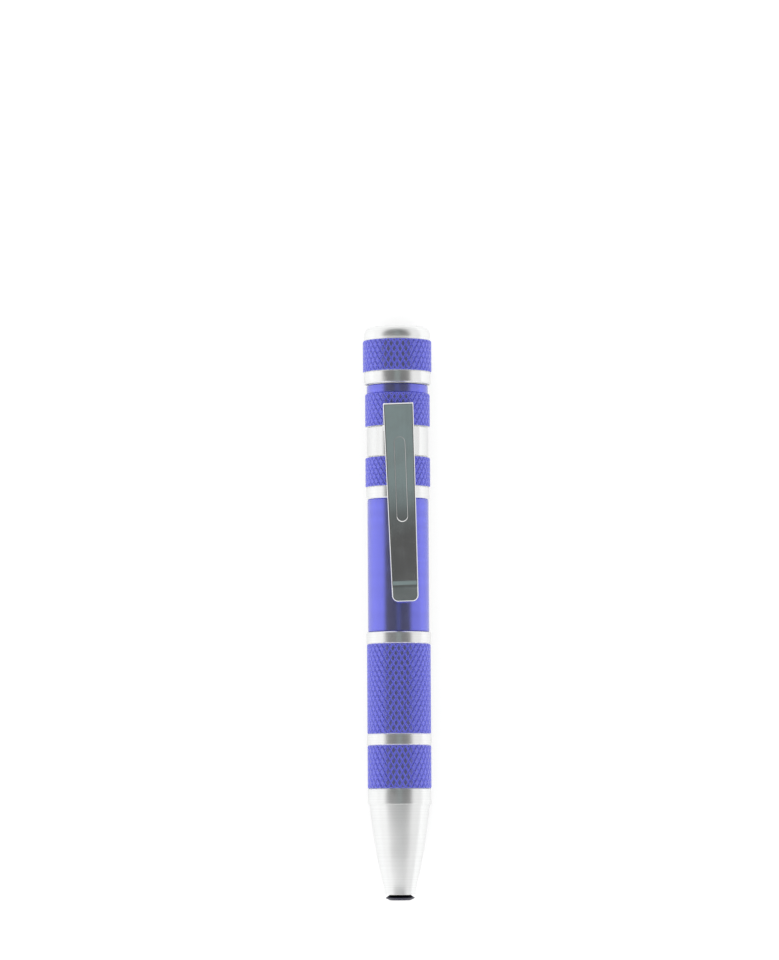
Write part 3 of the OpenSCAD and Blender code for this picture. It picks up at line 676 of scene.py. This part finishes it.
class SCREWDRIVER_OT_nose(bpy.types.Operator):
    """Turns the nose: mouth, swelled cone, shoulder, collar and spigot"""

    bl_idname = "screwdriver.nose"
    bl_label = "Turned nose"

    def execute(self, context):
        sizes = context.scene.screwdriver_nose
        barrel = context.scene.screwdriver_barrel
        chamfer = barrel.chamfer
        mouth = NOSE_LOW.y
        collar_radius = (NOSE_HIGH.x - NOSE_LOW.x) / 2
        bore_radius = (SOCKET_HIGH.x - SOCKET_LOW.x) / 2
        spigot_top = NOSE_HIGH.y
        collar_top = spigot_top - sizes.spigot_length
        shoulder = collar_top - sizes.collar_length
        land_top = mouth + sizes.land_length
        tip_radius = sizes.tip_diameter / 2
        spread = (sizes.base_diameter - sizes.tip_diameter) / 2
        cone = []
        for step in range(NOSE_STEPS + 1):
            along = step / NOSE_STEPS
            bulge = sizes.swell * (1 - (2 * along - 1) ** 2)
            cone.append((tip_radius + spread * along + bulge, land_top + (shoulder - land_top) * along))
        spigot_radius = barrel.bore / 2 - SPIGOT_GAP
        mouth_radius = tip_radius - sizes.land_taper
        rim = [(bore_radius, mouth), (mouth_radius - sizes.edge, mouth), (mouth_radius, mouth + sizes.edge)]
        collar = [(collar_radius - sizes.edge, shoulder), (collar_radius, shoulder + sizes.edge),
                  (collar_radius, collar_top - chamfer), (collar_radius - chamfer, collar_top)]
        back = [(spigot_radius, collar_top), (spigot_radius, spigot_top), (0, spigot_top)]
        inside = [(0, SOCKET_HIGH.y), (bore_radius, SOCKET_HIGH.y), (bore_radius, mouth)]
        bm = bmesh.new()
        turned_band(bm, rim + cone + collar + back, TURNED_STEPS, 0)
        turned_band(bm, inside, TURNED_STEPS, 1)
        # The nose's bore takes the aluminium with painted shade
        finishes = (bpy.data.materials["bare_turned"], bpy.data.materials["bore_metal"])
        finished_piece(bm, "nose", finishes, "barrel", "bare_aluminium", "nose_cone")
        return {"FINISHED"}


class SCREWDRIVER_OT_socket(bpy.types.Operator):
    """Turns the socket sleeve: flanged front, hexagonal hole with a lead-in, and the magnet's seat"""

    bl_idname = "screwdriver.socket"
    bl_label = "Bit socket"

    def execute(self, context):
        sizes = context.scene.screwdriver_nose
        front, back, mouth = SOCKET_LOW.y, SOCKET_HIGH.y, NOSE_LOW.y
        seat = MAGNET_LOW.y
        radius = (SOCKET_HIGH.x - SOCKET_LOW.x) / 2
        corner = sizes.hex_across / math.sqrt(3)
        lead = (corner + sizes.lead_in, front)
        neck = (sizes.neck_diameter / 2, mouth)
        widest = (sizes.flange_diameter / 2, front + (mouth - front) * sizes.flange_middle)
        seat_radius = (MAGNET_HIGH.x - MAGNET_LOW.x) / 2 + sizes.magnet_gap
        crown = self.flank(lead, widest) + self.flank(neck, widest)[-2::-1]
        sleeve = [(radius, mouth), (radius, back), (seat_radius, back), (seat_radius, seat), (corner, seat),
                  (corner, front + sizes.lead_in), lead]
        bm = bmesh.new()
        turned_band(bm, crown + sleeve, HEX_STEPS, 0)
        for vertex in bm.verts:
            if abs(radius_of(vertex) - corner) < MERGE_DISTANCE:
                turn = math.atan2(vertex.co.z - AXIS_HEIGHT, vertex.co.x) % HEX_TURN - HEX_TURN / 2
                set_radius(vertex, sizes.hex_across / 2 / math.cos(turn))
        finishes = (bpy.data.materials["socket_black"],)
        finished_piece(bm, "socket", finishes, "barrel", "black_steel", "bit_socket")
        return {"FINISHED"}

    @staticmethod
    def flank(edge, widest):
        """Curved flank of the flange as (radius, station) points, from an edge to its widest place"""
        points = []
        for step in range(CROWN_STEPS + 1):
            along = step / CROWN_STEPS
            points.append((edge[0] + (widest[0] - edge[0]) * along,
                           edge[1] + (widest[1] - edge[1]) * along ** CROWN_POWER))
        return points


class SCREWDRIVER_OT_grip_barrel(bpy.types.Operator):
    """Builds the grip barrel: two knurled bands and two turned rings"""

    bl_idname = "screwdriver.grip_barrel"
    bl_label = "Grip barrel"

    def execute(self, context):
        sizes = context.scene.screwdriver_barrel
        crest = sizes.knurl_diameter
        ring = GRIP_HIGH.x - GRIP_LOW.x
        bands = [("knurl", sizes.low_knurl_length, crest),
                 ("ring", sizes.low_ring_length, ring),
                 ("knurl", sizes.main_knurl_length, crest)]
        open_barrel(context, "grip", GRIP_LOW.y, GRIP_HIGH.y, crest, bands, ("ring", ring))
        return {"FINISHED"}


class SCREWDRIVER_OT_upper_barrel(bpy.types.Operator):
    """Builds the upper barrel: smooth tube, ring, the knurling round the clip's seat and the neck"""

    bl_idname = "screwdriver.upper_barrel"
    bl_label = "Upper barrel"

    def execute(self, context):
        sizes = context.scene.screwdriver_barrel
        crest = UPPER_HIGH.x - UPPER_LOW.x
        bands = [("plain", sizes.tube_length, sizes.tube_diameter),
                 ("ring", sizes.upper_ring_length, sizes.upper_ring_diameter),
                 ("knurl", sizes.below_clip_length, crest),
                 ("ring", sizes.clip_seat_length, sizes.clip_seat_diameter),
                 ("knurl", sizes.above_clip_length, crest)]
        open_barrel(context, "upper", UPPER_LOW.y, UPPER_HIGH.y, crest, bands,
                    ("plain", sizes.neck_diameter), "violet_plain")
        return {"FINISHED"}


class SCREWDRIVER_OT_tail_cap(bpy.types.Operator):
    """Builds the tail cap: ring, knurled band, bare dome and the hollow that turns on the plug"""

    bl_idname = "screwdriver.tail_cap"
    bl_label = "Tail cap"

    def execute(self, context):
        sizes = context.scene.screwdriver_cap
        barrel = context.scene.screwdriver_barrel
        low, high = CAP_LOW.y, CAP_HIGH.y
        crest = CAP_HIGH.x - CAP_LOW.x
        bands = [("ring", sizes.ring_length, sizes.ring_diameter), ("knurl", sizes.knurl_length, crest)]
        count = diamonds_round(crest, barrel)
        bm = bmesh.new()
        first_rim, last_rim = stacked_bands(bm, low, bands, count, barrel)
        foot = low + sizes.ring_length + sizes.knurl_length
        spring = foot + sizes.dome_foot
        dome_radius = sizes.dome_diameter / 2
        top_radius = sizes.top_diameter / 2
        dome = [(last_rim, foot)]
        for step in range(DOME_STEPS):
            along = step / DOME_STEPS
            dome.append((dome_radius - sizes.dome_swell * (1 - along) ** 2, foot + sizes.dome_foot * along))
        for step in range(DOME_STEPS + 1):
            turn = QUARTER_TURN * step / DOME_STEPS
            dome.append((top_radius + (dome_radius - top_radius) * math.cos(turn),
                         spring + (high - spring) * math.sin(turn)))
        turned_band(bm, dome + [(0, high)], 2 * count, BARE_SLOT)
        flange_bore = (PLUG_HIGH.x - PLUG_LOW.x) / 2 + sizes.running_gap
        seat = low + sizes.seat_depth
        boss_bore = sizes.boss_diameter / 2
        boss_top = PLUG_HIGH.y + sizes.boss_gap
        screw_bore = boss_bore * SCREW_SHARE
        screw_top = SCREW_HIGH.y
        hollow = [(first_rim, low), (flange_bore, low), (flange_bore, seat), (boss_bore, seat),
                  (boss_bore, boss_top), (screw_bore, boss_top), (screw_bore, screw_top), (0, screw_top)]
        turned_band(bm, hollow, 2 * count, BORE_SLOT)
        materials = banded_finishes(context, "cap", crest)
        finished_piece(bm, "cap", materials, "cap", "violet_aluminium", "tail_cap")
        return {"FINISHED"}


def smooth_step(value):
    """Smooth rise from zero to one"""
    held = min(max(value, 0.0), 1.0)
    return held * held * (3 - 2 * held)


def arc_points(centre, radius, start, end, steps):
    """Points of an arc round a centre, as pairs like the centre's, angles in radians"""
    turns = [start + (end - start) * step / steps for step in range(steps + 1)]
    return [(centre[0] + radius * math.cos(turn), centre[1] + radius * math.sin(turn)) for turn in turns]


def line_points(start, end, step_length):
    """Points of a straight line, without its first"""
    steps = max(1, round(math.dist(start, end) / step_length))
    return [(start[0] + (end[0] - start[0]) * step / steps, start[1] + (end[1] - start[1]) * step / steps)
            for step in range(1, steps + 1)]


class ClipShape:
    """Places along the clip's strip, worked out from its sizes and the barrel's"""

    def __init__(self, sizes, barrel):
        half = sizes.sheet / 2
        self.sizes = sizes
        self.band_radius = (BAND_HIGH.x - BAND_LOW.x) / 2 - half
        self.band_low = BAND_LOW.y
        seat_low = UPPER_LOW.y + barrel.tube_length + barrel.upper_ring_length + barrel.below_clip_length
        self.seat_top = seat_low + barrel.clip_seat_length
        self.band_top = self.seat_top - (self.band_low - seat_low)
        self.root_out = (UPPER_HIGH.x - UPPER_LOW.x) / 2 + sizes.clearance + half
        self.bend_radius = (sizes.fold_gap + sizes.sheet) / 2
        self.bend_out = self.root_out + self.bend_radius
        self.bend_station = ARM_HIGH.y - self.bend_radius - half
        self.arm_out = self.bend_out + self.bend_radius
        self.lip_station = ARM_LOW.y
        self.knee_station = self.lip_station + sizes.knee_reach
        self.crest_station = self.lip_station + sizes.crest_reach
        self.crest_centre = barrel.tube_diameter / 2 + sizes.clearance + half + sizes.crest_radius

    def path(self):
        """Middle of the sheet as (out, station) points, from inside the band to the end of the lip"""
        sizes = self.sizes
        points = []
        joggle_low = self.seat_top - sizes.clearance - sizes.joggle
        start_out = self.band_radius - sizes.sink
        for step in range(JOGGLE_STEPS + 1):
            along = step / JOGGLE_STEPS
            out = start_out + (self.root_out - start_out) * smooth_step(along)
            points.append((out, joggle_low + sizes.joggle * along))
        points += line_points(points[-1], (self.root_out, self.bend_station), ROW_STEP)
        middle = (self.bend_out, self.bend_station)
        points += arc_points(middle, self.bend_radius, math.pi, 0, FOLD_STEPS)[1:]
        start = (self.crest_centre - sizes.crest_radius * math.cos(sizes.knee_angle),
                 self.crest_station + sizes.crest_radius * math.sin(sizes.knee_angle))
        knee_slope = math.tan(sizes.knee_angle)
        bow_slope = math.tan(sizes.bow_angle)
        knee_out = start[0] + (self.knee_station - start[1]) * knee_slope
        bow_station = self.knee_station + sizes.bow_reach
        bow_out = knee_out + sizes.bow_reach * bow_slope
        arm_slope = (self.arm_out - bow_out) / (self.bend_station - bow_station)
        for point in line_points(points[-1], start, ROW_STEP):
            out = bow_out + eased_bend(point[1] - bow_station, arm_slope, bow_slope, sizes.bow_ease)
            out += eased_bend(point[1] - self.knee_station, 0.0, knee_slope - bow_slope, sizes.knee_ease)
            points.append((out, point[1]))
        points += arc_points((self.crest_centre, self.crest_station), sizes.crest_radius,
                             math.pi - sizes.knee_angle, math.pi + sizes.lip_angle, CREST_STEPS)[1:]
        lip_out = points[-1][0] + (points[-1][1] - self.lip_station) * math.tan(sizes.lip_angle)
        points += line_points(points[-1], (lip_out, self.lip_station), LIP_STEP)
        return points

    def half_width(self, station, on_arm):
        """Half the strip's width at a station, with round corners at the lip"""
        sizes = self.sizes
        if not on_arm:
            return sizes.root_width / 2
        along = (self.bend_station - station) / (self.bend_station - self.lip_station)
        half = (sizes.root_width + (sizes.foot_width - sizes.root_width) * max(along, 0.0)) / 2
        to_end = station - self.lip_station
        if to_end < sizes.corner:
            half -= quarter_drop(sizes.corner, to_end)
        return half

    def section(self, station, on_arm):
        """Section of the strip at a station, as (across, height) pairs from the middle of the sheet"""
        sizes = self.sizes
        half_sheet = sizes.sheet / 2
        to_end = station - self.lip_station
        high = half_sheet
        if on_arm and to_end < sizes.outer_edge:
            high -= quarter_drop(sizes.outer_edge, to_end)
        high_round = min(sizes.outer_edge, high + half_sheet - sizes.inner_edge)
        half = self.half_width(station, on_arm)
        return rounded_section(half, -half_sheet, high, high_round, sizes.inner_edge, STRIP_COLUMNS)

    def rib_depth(self, place):
        """How far a place on the arm lies inside the rib's outline, below zero outside it"""
        sizes = self.sizes
        reach = sizes.rib_width / 2
        if place.z < AXIS_HEIGHT + self.bend_out:
            return -sizes.rib_length
        drop = self.bend_station - place.y
        across = place.x * math.cos(sizes.lean) - drop * math.sin(sizes.lean) - sizes.shift
        along = place.x * math.sin(sizes.lean) + drop * math.cos(sizes.lean)
        nearest = min(max(along, sizes.rib_start + reach), sizes.rib_start + sizes.rib_length - reach)
        return reach - math.hypot(across, along - nearest)


def eased_bend(offset, slope_above, slope_below, ease):
    """Height of two slopes that meet at zero, with an eased corner"""
    if abs(offset) >= ease:
        return offset * (slope_above if offset > 0 else slope_below)
    mean = (slope_above + slope_below) / 2
    return mean * offset + (slope_above - slope_below) / 2 * (offset * offset + ease * ease) / (2 * ease)


def path_normals(path):
    """Unit normals of a path, pointing away from the barrel along the arm"""
    normals = []
    for index in range(len(path)):
        before = Vector(path[max(index - 1, 0)])
        after = Vector(path[min(index + 1, len(path) - 1)])
        along = (after - before).normalized()
        normals.append(Vector((-along.y, along.x)))
    return normals


def quarter_drop(radius, distance):
    """How far a quarter round lies below its flat, at a distance from the edge that it rounds"""
    held = min(max(distance, 0.0), radius)
    return radius - math.sqrt(radius ** 2 - (radius - held) ** 2)


def rounded_section(half, low, high, high_round, low_round, columns):
    """Points round a flat section with round edges, as (across, height) pairs"""
    shown = half - high_round
    hidden = half - low_round
    shown_height = high - high_round
    hidden_height = low + low_round
    points = [(shown * (2 * step / columns - 1), high) for step in range(columns)]
    points += arc_points((shown, shown_height), high_round, QUARTER_TURN, 0, EDGE_SEGMENTS)
    points += arc_points((hidden, hidden_height), low_round, 0, -QUARTER_TURN, EDGE_SEGMENTS)
    points += [(hidden * (1 - 2 * step / columns), low) for step in range(1, columns)]
    points += arc_points((-hidden, hidden_height), low_round, -QUARTER_TURN, -math.pi, EDGE_SEGMENTS)
    points += arc_points((-shown, shown_height), high_round, math.pi, QUARTER_TURN, EDGE_SEGMENTS)[:-1]
    return points


def swept_shell(bm, rows):
    """Wraps a grid round rows of places, one row for each section, and closes its two ends"""
    size = len(rows[0])
    last = len(rows) - 1
    made = bmesh.ops.create_grid(bm, x_segments=size, y_segments=last, size=1)["verts"]
    for vertex in made:
        step = round((vertex.co.x + 1) / 2 * size) % size
        vertex.co = rows[round((vertex.co.y + 1) / 2 * last)][step]
    bmesh.ops.remove_doubles(bm, verts=made, dist=MERGE_DISTANCE)
    bmesh.ops.holes_fill(bm, edges=[edge for edge in bm.edges if edge.is_boundary], sides=0)


class SCREWDRIVER_OT_clip(bpy.types.Operator):
    """Bends the clip from one strip: band, root, fold, arm with its rib, crest and lip"""

    bl_idname = "screwdriver.clip"
    bl_label = "Pocket clip"

    def execute(self, context):
        sizes = context.scene.screwdriver_clip
        shape = ClipShape(sizes, context.scene.screwdriver_barrel)
        bm = bmesh.new()
        self.strip(bm, shape)
        self.press_rib(bm, shape)
        self.band(bm, shape)
        for face in bm.faces:
            face.smooth = True
        piece = finished_piece(bm, "clip", (bpy.data.materials["clip_steel"],), None, "spring_steel",
                               "clip_band", "clip_arm")
        self.bend_at_fold(piece, shape)
        return {"FINISHED"}

    @classmethod
    def strip(cls, bm, shape):
        """Sweeps the strip's section along its path, from inside the band to the end of the lip"""
        path = shape.path()
        normals = path_normals(path)
        top = max(range(len(path)), key=lambda row: path[row][1])
        rows = []
        for row, point in enumerate(path):
            on_arm = row >= top
            section = shape.section(point[1], on_arm)
            rows.append([cls.placed(shape, place, point, normals[row], on_arm) for place in section])
        swept_shell(bm, rows)

    @staticmethod
    def press_rib(bm, shape):
        """Refines the sheet along the rib's outline and presses the rib out of it"""
        edge_width = shape.sizes.rib_edge
        outside = -RIB_OUTSIDE * edge_width
        inside = RIB_INSIDE * edge_width
        for cut in range(RIB_CUTS):
            near = [edge for edge in bm.edges
                    if all(outside < shape.rib_depth(point.co) < inside for point in edge.verts)]
            bmesh.ops.subdivide_edges(bm, edges=near, cuts=1, use_grid_fill=True)
        for vertex in bm.verts:
            vertex.co.z += shape.sizes.rib_height * smooth_step(shape.rib_depth(vertex.co) / edge_width)

    @staticmethod
    def placed(shape, place, point, normal, on_arm):
        """Place in the frame of a point of the strip's section, at a point of its path"""
        sizes = shape.sizes
        across, height = place
        across += sizes.shift
        out, station = point
        curl = 0.0
        if not on_arm and out < shape.root_out:
            curl = smooth_step((shape.root_out - out) / (shape.root_out - shape.band_radius))
        out += normal.x * height
        station += normal.y * height
        turn = across / shape.band_radius
        x = across + curl * (out * math.sin(turn) - across)
        out -= curl * out * (1 - math.cos(turn))
        if on_arm:
            drop = shape.bend_station - station
            x, drop = (x * math.cos(sizes.lean) + drop * math.sin(sizes.lean),
                       drop * math.cos(sizes.lean) - x * math.sin(sizes.lean))
            station = shape.bend_station - drop
        return Vector((x, station, AXIS_HEIGHT + out))

    @staticmethod
    def band(bm, shape):
        """Bends the band's section round the barrel, with a fillet up to the strip"""
        sizes = shape.sizes
        half = (shape.band_top - shape.band_low) / 2
        half_sheet = sizes.sheet / 2
        edge = sizes.inner_edge
        section = rounded_section(half, -half_sheet, half_sheet, edge, edge, BAND_COLUMNS)
        end = math.pi - sizes.band_gap / 2 / shape.band_radius
        rows = []
        for step in range(2 * WING_STEPS + 1):
            turn = end * (step / WING_STEPS - 1)
            rise = quarter_drop(sizes.fillet, abs(turn) * shape.band_radius - sizes.root_width / 2)
            rows.append([Vector(((shape.band_radius + height) * math.sin(turn),
                                 shape.band_low + half + along + rise * max(along / half, 0.0),
                                 AXIS_HEIGHT + (shape.band_radius + height) * math.cos(turn)))
                         for along, height in section])
        swept_shell(bm, rows)

    @staticmethod
    def bend_at_fold(piece, shape):
        """Bakes the clip's placement into its mesh"""
        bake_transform(piece)


class SCREWDRIVER_OT_inner_pieces(bpy.types.Operator):
    """Gives the magnet, the plug and the rack their finishes"""

    bl_idname = "screwdriver.inner_pieces"
    bl_label = "Magnet, plug and rack"

    def execute(self, context):
        dress({"socket_magnet": "magnet_nickel", "joining_sleeve": "bare_turned", "cap_plug": "bare_turned",
               "plug_o_ring": "o_ring_rubber", "swivel_screw": "tool_steel",
               "thrust_washer": "washer_moulded", "rack_stem": "tool_steel",
               "upper_bit_holder": "holder_moulded", "lower_bit_holder": "holder_moulded"})
        return {"FINISHED"}


class SCREWDRIVER_OT_bits(bpy.types.Operator):
    """Gives the eight stored bits the satin steel of the frame"""

    bl_idname = "screwdriver.bits"
    bl_label = "Bits"

    def execute(self, context):
        bits = [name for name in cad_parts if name.startswith("bit_") and name != "bit_socket"]
        dress(dict.fromkeys(bits, "tool_steel"))
        return {"FINISHED"}


def dress(finishes_by_node):
    """Puts a finish on each CAD node that stays in view; tool_steel is the frame's own material"""
    for name, finish in finishes_by_node.items():
        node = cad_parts[name]
        material = bpy.data.materials[finish]
        if not node.material_slots:
            node.data.materials.append(material)
        for slot in node.material_slots:
            slot.material = material


class SCREWDRIVER_OT_finishes(bpy.types.Operator):
    """Makes the node groups and the finishes that take their values from FINISHES"""

    bl_idname = "screwdriver.finishes"
    bl_label = "Finishes"

    def execute(self, context):
        colours = context.scene.screwdriver_finishes
        turned_marks_group()
        handling_group()
        brushed_grain_group()
        crest_height_group()
        for name, plan in FINISHES.items():
            made_finish(name, plan, getattr(colours, plan["colour"]))
        return {"FINISHED"}


class SCREWDRIVER_OT_stage(bpy.types.Operator):
    """Lays the floor, lights the scene and sets the camera"""

    bl_idname = "screwdriver.stage"
    bl_label = "Stage"

    def execute(self, context):
        sizes = context.scene.screwdriver_stage
        context.scene.view_settings.view_transform = "Standard"
        context.scene.cycles.caustics_reflective = False
        self.floor(sizes)
        self.world(context)
        self.camera(context, sizes)
        return {"FINISHED"}

    @staticmethod
    def floor(sizes):
        """Pale floor that shows near white to the camera and to metal, and keeps the shadow"""
        bm = bmesh.new()
        bmesh.ops.create_grid(bm, x_segments=1, y_segments=1, size=sizes.floor_size / 2)
        mesh = bpy.data.meshes.new("floor")
        bm.to_mesh(mesh)
        bm.free()
        floor = bpy.data.objects.new("floor", mesh)
        bpy.context.scene.collection.objects.link(floor)
        material, tree, shader = material_with_shader("floor_white")
        shader.inputs["Base Color"].default_value = (*sizes.floor_colour, 1)
        shader.inputs["Roughness"].default_value = 1
        shader.inputs["Specular IOR Level"].default_value = 0
        rays = node_of(tree, "ShaderNodeLightPath")
        mirrored = math_of(tree, "MULTIPLY", rays.outputs["Is Glossy Ray"], sizes.metal_glow)
        glow = math_of(tree, "MULTIPLY_ADD", rays.outputs["Is Camera Ray"], sizes.floor_glow, mirrored)
        shader.inputs["Emission Color"].default_value = (1, 1, 1, 1)
        tree.links.new(glow, shader.inputs["Emission Strength"])
        mesh.materials.append(material)

    @staticmethod
    def towards(tree, part, above, below):
        """Share of the way to one of two limits of a direction's part, above or below zero"""
        up = math_of(tree, "DIVIDE", part, above)
        down = math_of(tree, "DIVIDE", part, -below)
        return math_of(tree, "MAXIMUM", up, down)

    @staticmethod
    def reach(tree, across, along):
        """Distance from the middle of an oval, from the shares across and along it"""
        square = math_of(tree, "MULTIPLY", across, across)
        return math_of(tree, "SQRT", math_of(tree, "MULTIPLY_ADD", along, along, square))

    @classmethod
    def world(cls, context):
        """White tent with a dim opening overhead, where the camera looks in, and a paler patch in it"""
        world = bpy.data.worlds.new("tent")
        context.scene.world = world
        world.use_nodes = True
        tree = world.node_tree
        background = tree.nodes["Background"]
        place = node_of(tree, "ShaderNodeTexCoord")
        parts = node_of(tree, "ShaderNodeSeparateXYZ")
        tree.links.new(place.outputs["Generated"], parts.inputs[0])
        x, y, z = parts.outputs
        across = cls.towards(tree, x, OPENING_RIGHT, OPENING_LEFT)
        along = cls.towards(tree, y, OPENING_TAIL, OPENING_NOSE)
        wall = ramp_of(tree, cls.reach(tree, across, along), OPENING_INNER, OPENING_OUTER)
        below = ramp_of(tree, z, 0.0, HORIZON_FADE, 1.0, 0.0)
        wall = math_of(tree, "MAXIMUM", wall, below)
        across = math_of(tree, "DIVIDE", x, PATCH_ACROSS)
        along = math_of(tree, "DIVIDE", math_of(tree, "SUBTRACT", y, PATCH_OFFSET), PATCH_ALONG)
        patch = ramp_of(tree, cls.reach(tree, across, along), PATCH_INNER, PATCH_OUTER, 1.0, 0.0)
        veil = ramp_of(tree, y, VEIL_START, VEIL_END)
        opening = mix_of(tree, patch, mix_of(tree, veil, OPENING_COLOUR, VEIL_COLOUR), PATCH_COLOUR)
        sides = mix_of(tree, ramp_of(tree, x, -SIDE_FADE, SIDE_FADE), LEFT_COLOUR, RIGHT_COLOUR)
        tree.links.new(mix_of(tree, wall, opening, sides), background.inputs["Color"])
        background.inputs["Strength"].default_value = 1

    @staticmethod
    def camera(context, sizes):
        """Camera above the barrel, tilted a little towards the nose, with the tail up in the picture"""
        data = bpy.data.cameras.new("camera")
        data.sensor_width = SENSOR_LONG_SIDE
        data.lens = sizes.pixels_per_metre * sizes.distance * SENSOR_LONG_SIDE / IMAGE_HEIGHT
        data.clip_end = FAR_CLIP
        camera = bpy.data.objects.new("camera", data)
        context.scene.collection.objects.link(camera)
        back = Vector((0, -math.sin(sizes.tilt), math.cos(sizes.tilt)))
        up = Vector((0, math.cos(sizes.tilt), math.sin(sizes.tilt)))
        turn = Matrix((up.cross(back), up, back)).transposed() @ Matrix.Rotation(sizes.roll, 3, "Z")
        aim = Vector((sizes.aim_x, sizes.aim_y, AXIS_HEIGHT))
        camera.matrix_world = Matrix.Translation(aim + back * sizes.distance) @ turn.to_4x4()
        context.scene.camera = camera


class SCREWDRIVER_PT_panel(bpy.types.Panel):
    """Sizes, colours and building steps of the screwdriver"""

    bl_idname = "SCREWDRIVER_PT_panel"
    bl_label = "Pocket screwdriver"
    bl_space_type = "VIEW_3D"
    bl_region_type = "UI"
    bl_category = "Screwdriver"

    def draw(self, context):
        for name in SIZE_GROUPS:
            box = self.layout.box()
            group = getattr(context.scene, name)
            for label in group.bl_rna.properties.keys():
                if label not in ("rna_type", "name"):
                    box.prop(group, label)
        for operator in OPERATORS:
            self.layout.operator(operator.bl_idname)


SIZE_GROUPS = {
    "screwdriver_nose": ScrewdriverNoseSizes,
    "screwdriver_barrel": ScrewdriverBarrelSizes,
    "screwdriver_cap": ScrewdriverCapSizes,
    "screwdriver_clip": ScrewdriverClipSizes,
    "screwdriver_finishes": ScrewdriverFinishes,
    "screwdriver_stage": ScrewdriverStageSizes,
}
OPERATORS = (
    SCREWDRIVER_OT_finishes,
    SCREWDRIVER_OT_nose,
    SCREWDRIVER_OT_socket,
    SCREWDRIVER_OT_grip_barrel,
    SCREWDRIVER_OT_upper_barrel,
    SCREWDRIVER_OT_tail_cap,
    SCREWDRIVER_OT_clip,
    SCREWDRIVER_OT_inner_pieces,
    SCREWDRIVER_OT_bits,
    SCREWDRIVER_OT_stage,
)


def register():
    """Registers the sizes, the operators and the panel"""
    for name, group in SIZE_GROUPS.items():
        bpy.utils.register_class(group)
        setattr(bpy.types.Scene, name, PointerProperty(type=group))
    for operator in OPERATORS:
        bpy.utils.register_class(operator)
    bpy.utils.register_class(SCREWDRIVER_PT_panel)


def unregister():
    """Removes the panel, the operators and the sizes"""
    bpy.utils.unregister_class(SCREWDRIVER_PT_panel)
    for operator in reversed(OPERATORS):
        bpy.utils.unregister_class(operator)
    for name, group in SIZE_GROUPS.items():
        delattr(bpy.types.Scene, name)
        bpy.utils.unregister_class(group)


def main():
    """Registers the add-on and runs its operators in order"""
    register()
    bpy.ops.screwdriver.finishes()
    bpy.ops.screwdriver.nose()
    bpy.ops.screwdriver.socket()
    bpy.ops.screwdriver.grip_barrel()
    bpy.ops.screwdriver.upper_barrel()
    bpy.ops.screwdriver.tail_cap()
    bpy.ops.screwdriver.clip()
    bpy.ops.screwdriver.inner_pieces()
    bpy.ops.screwdriver.bits()
    bpy.ops.screwdriver.stage()


if __name__ == "__main__":
    main()
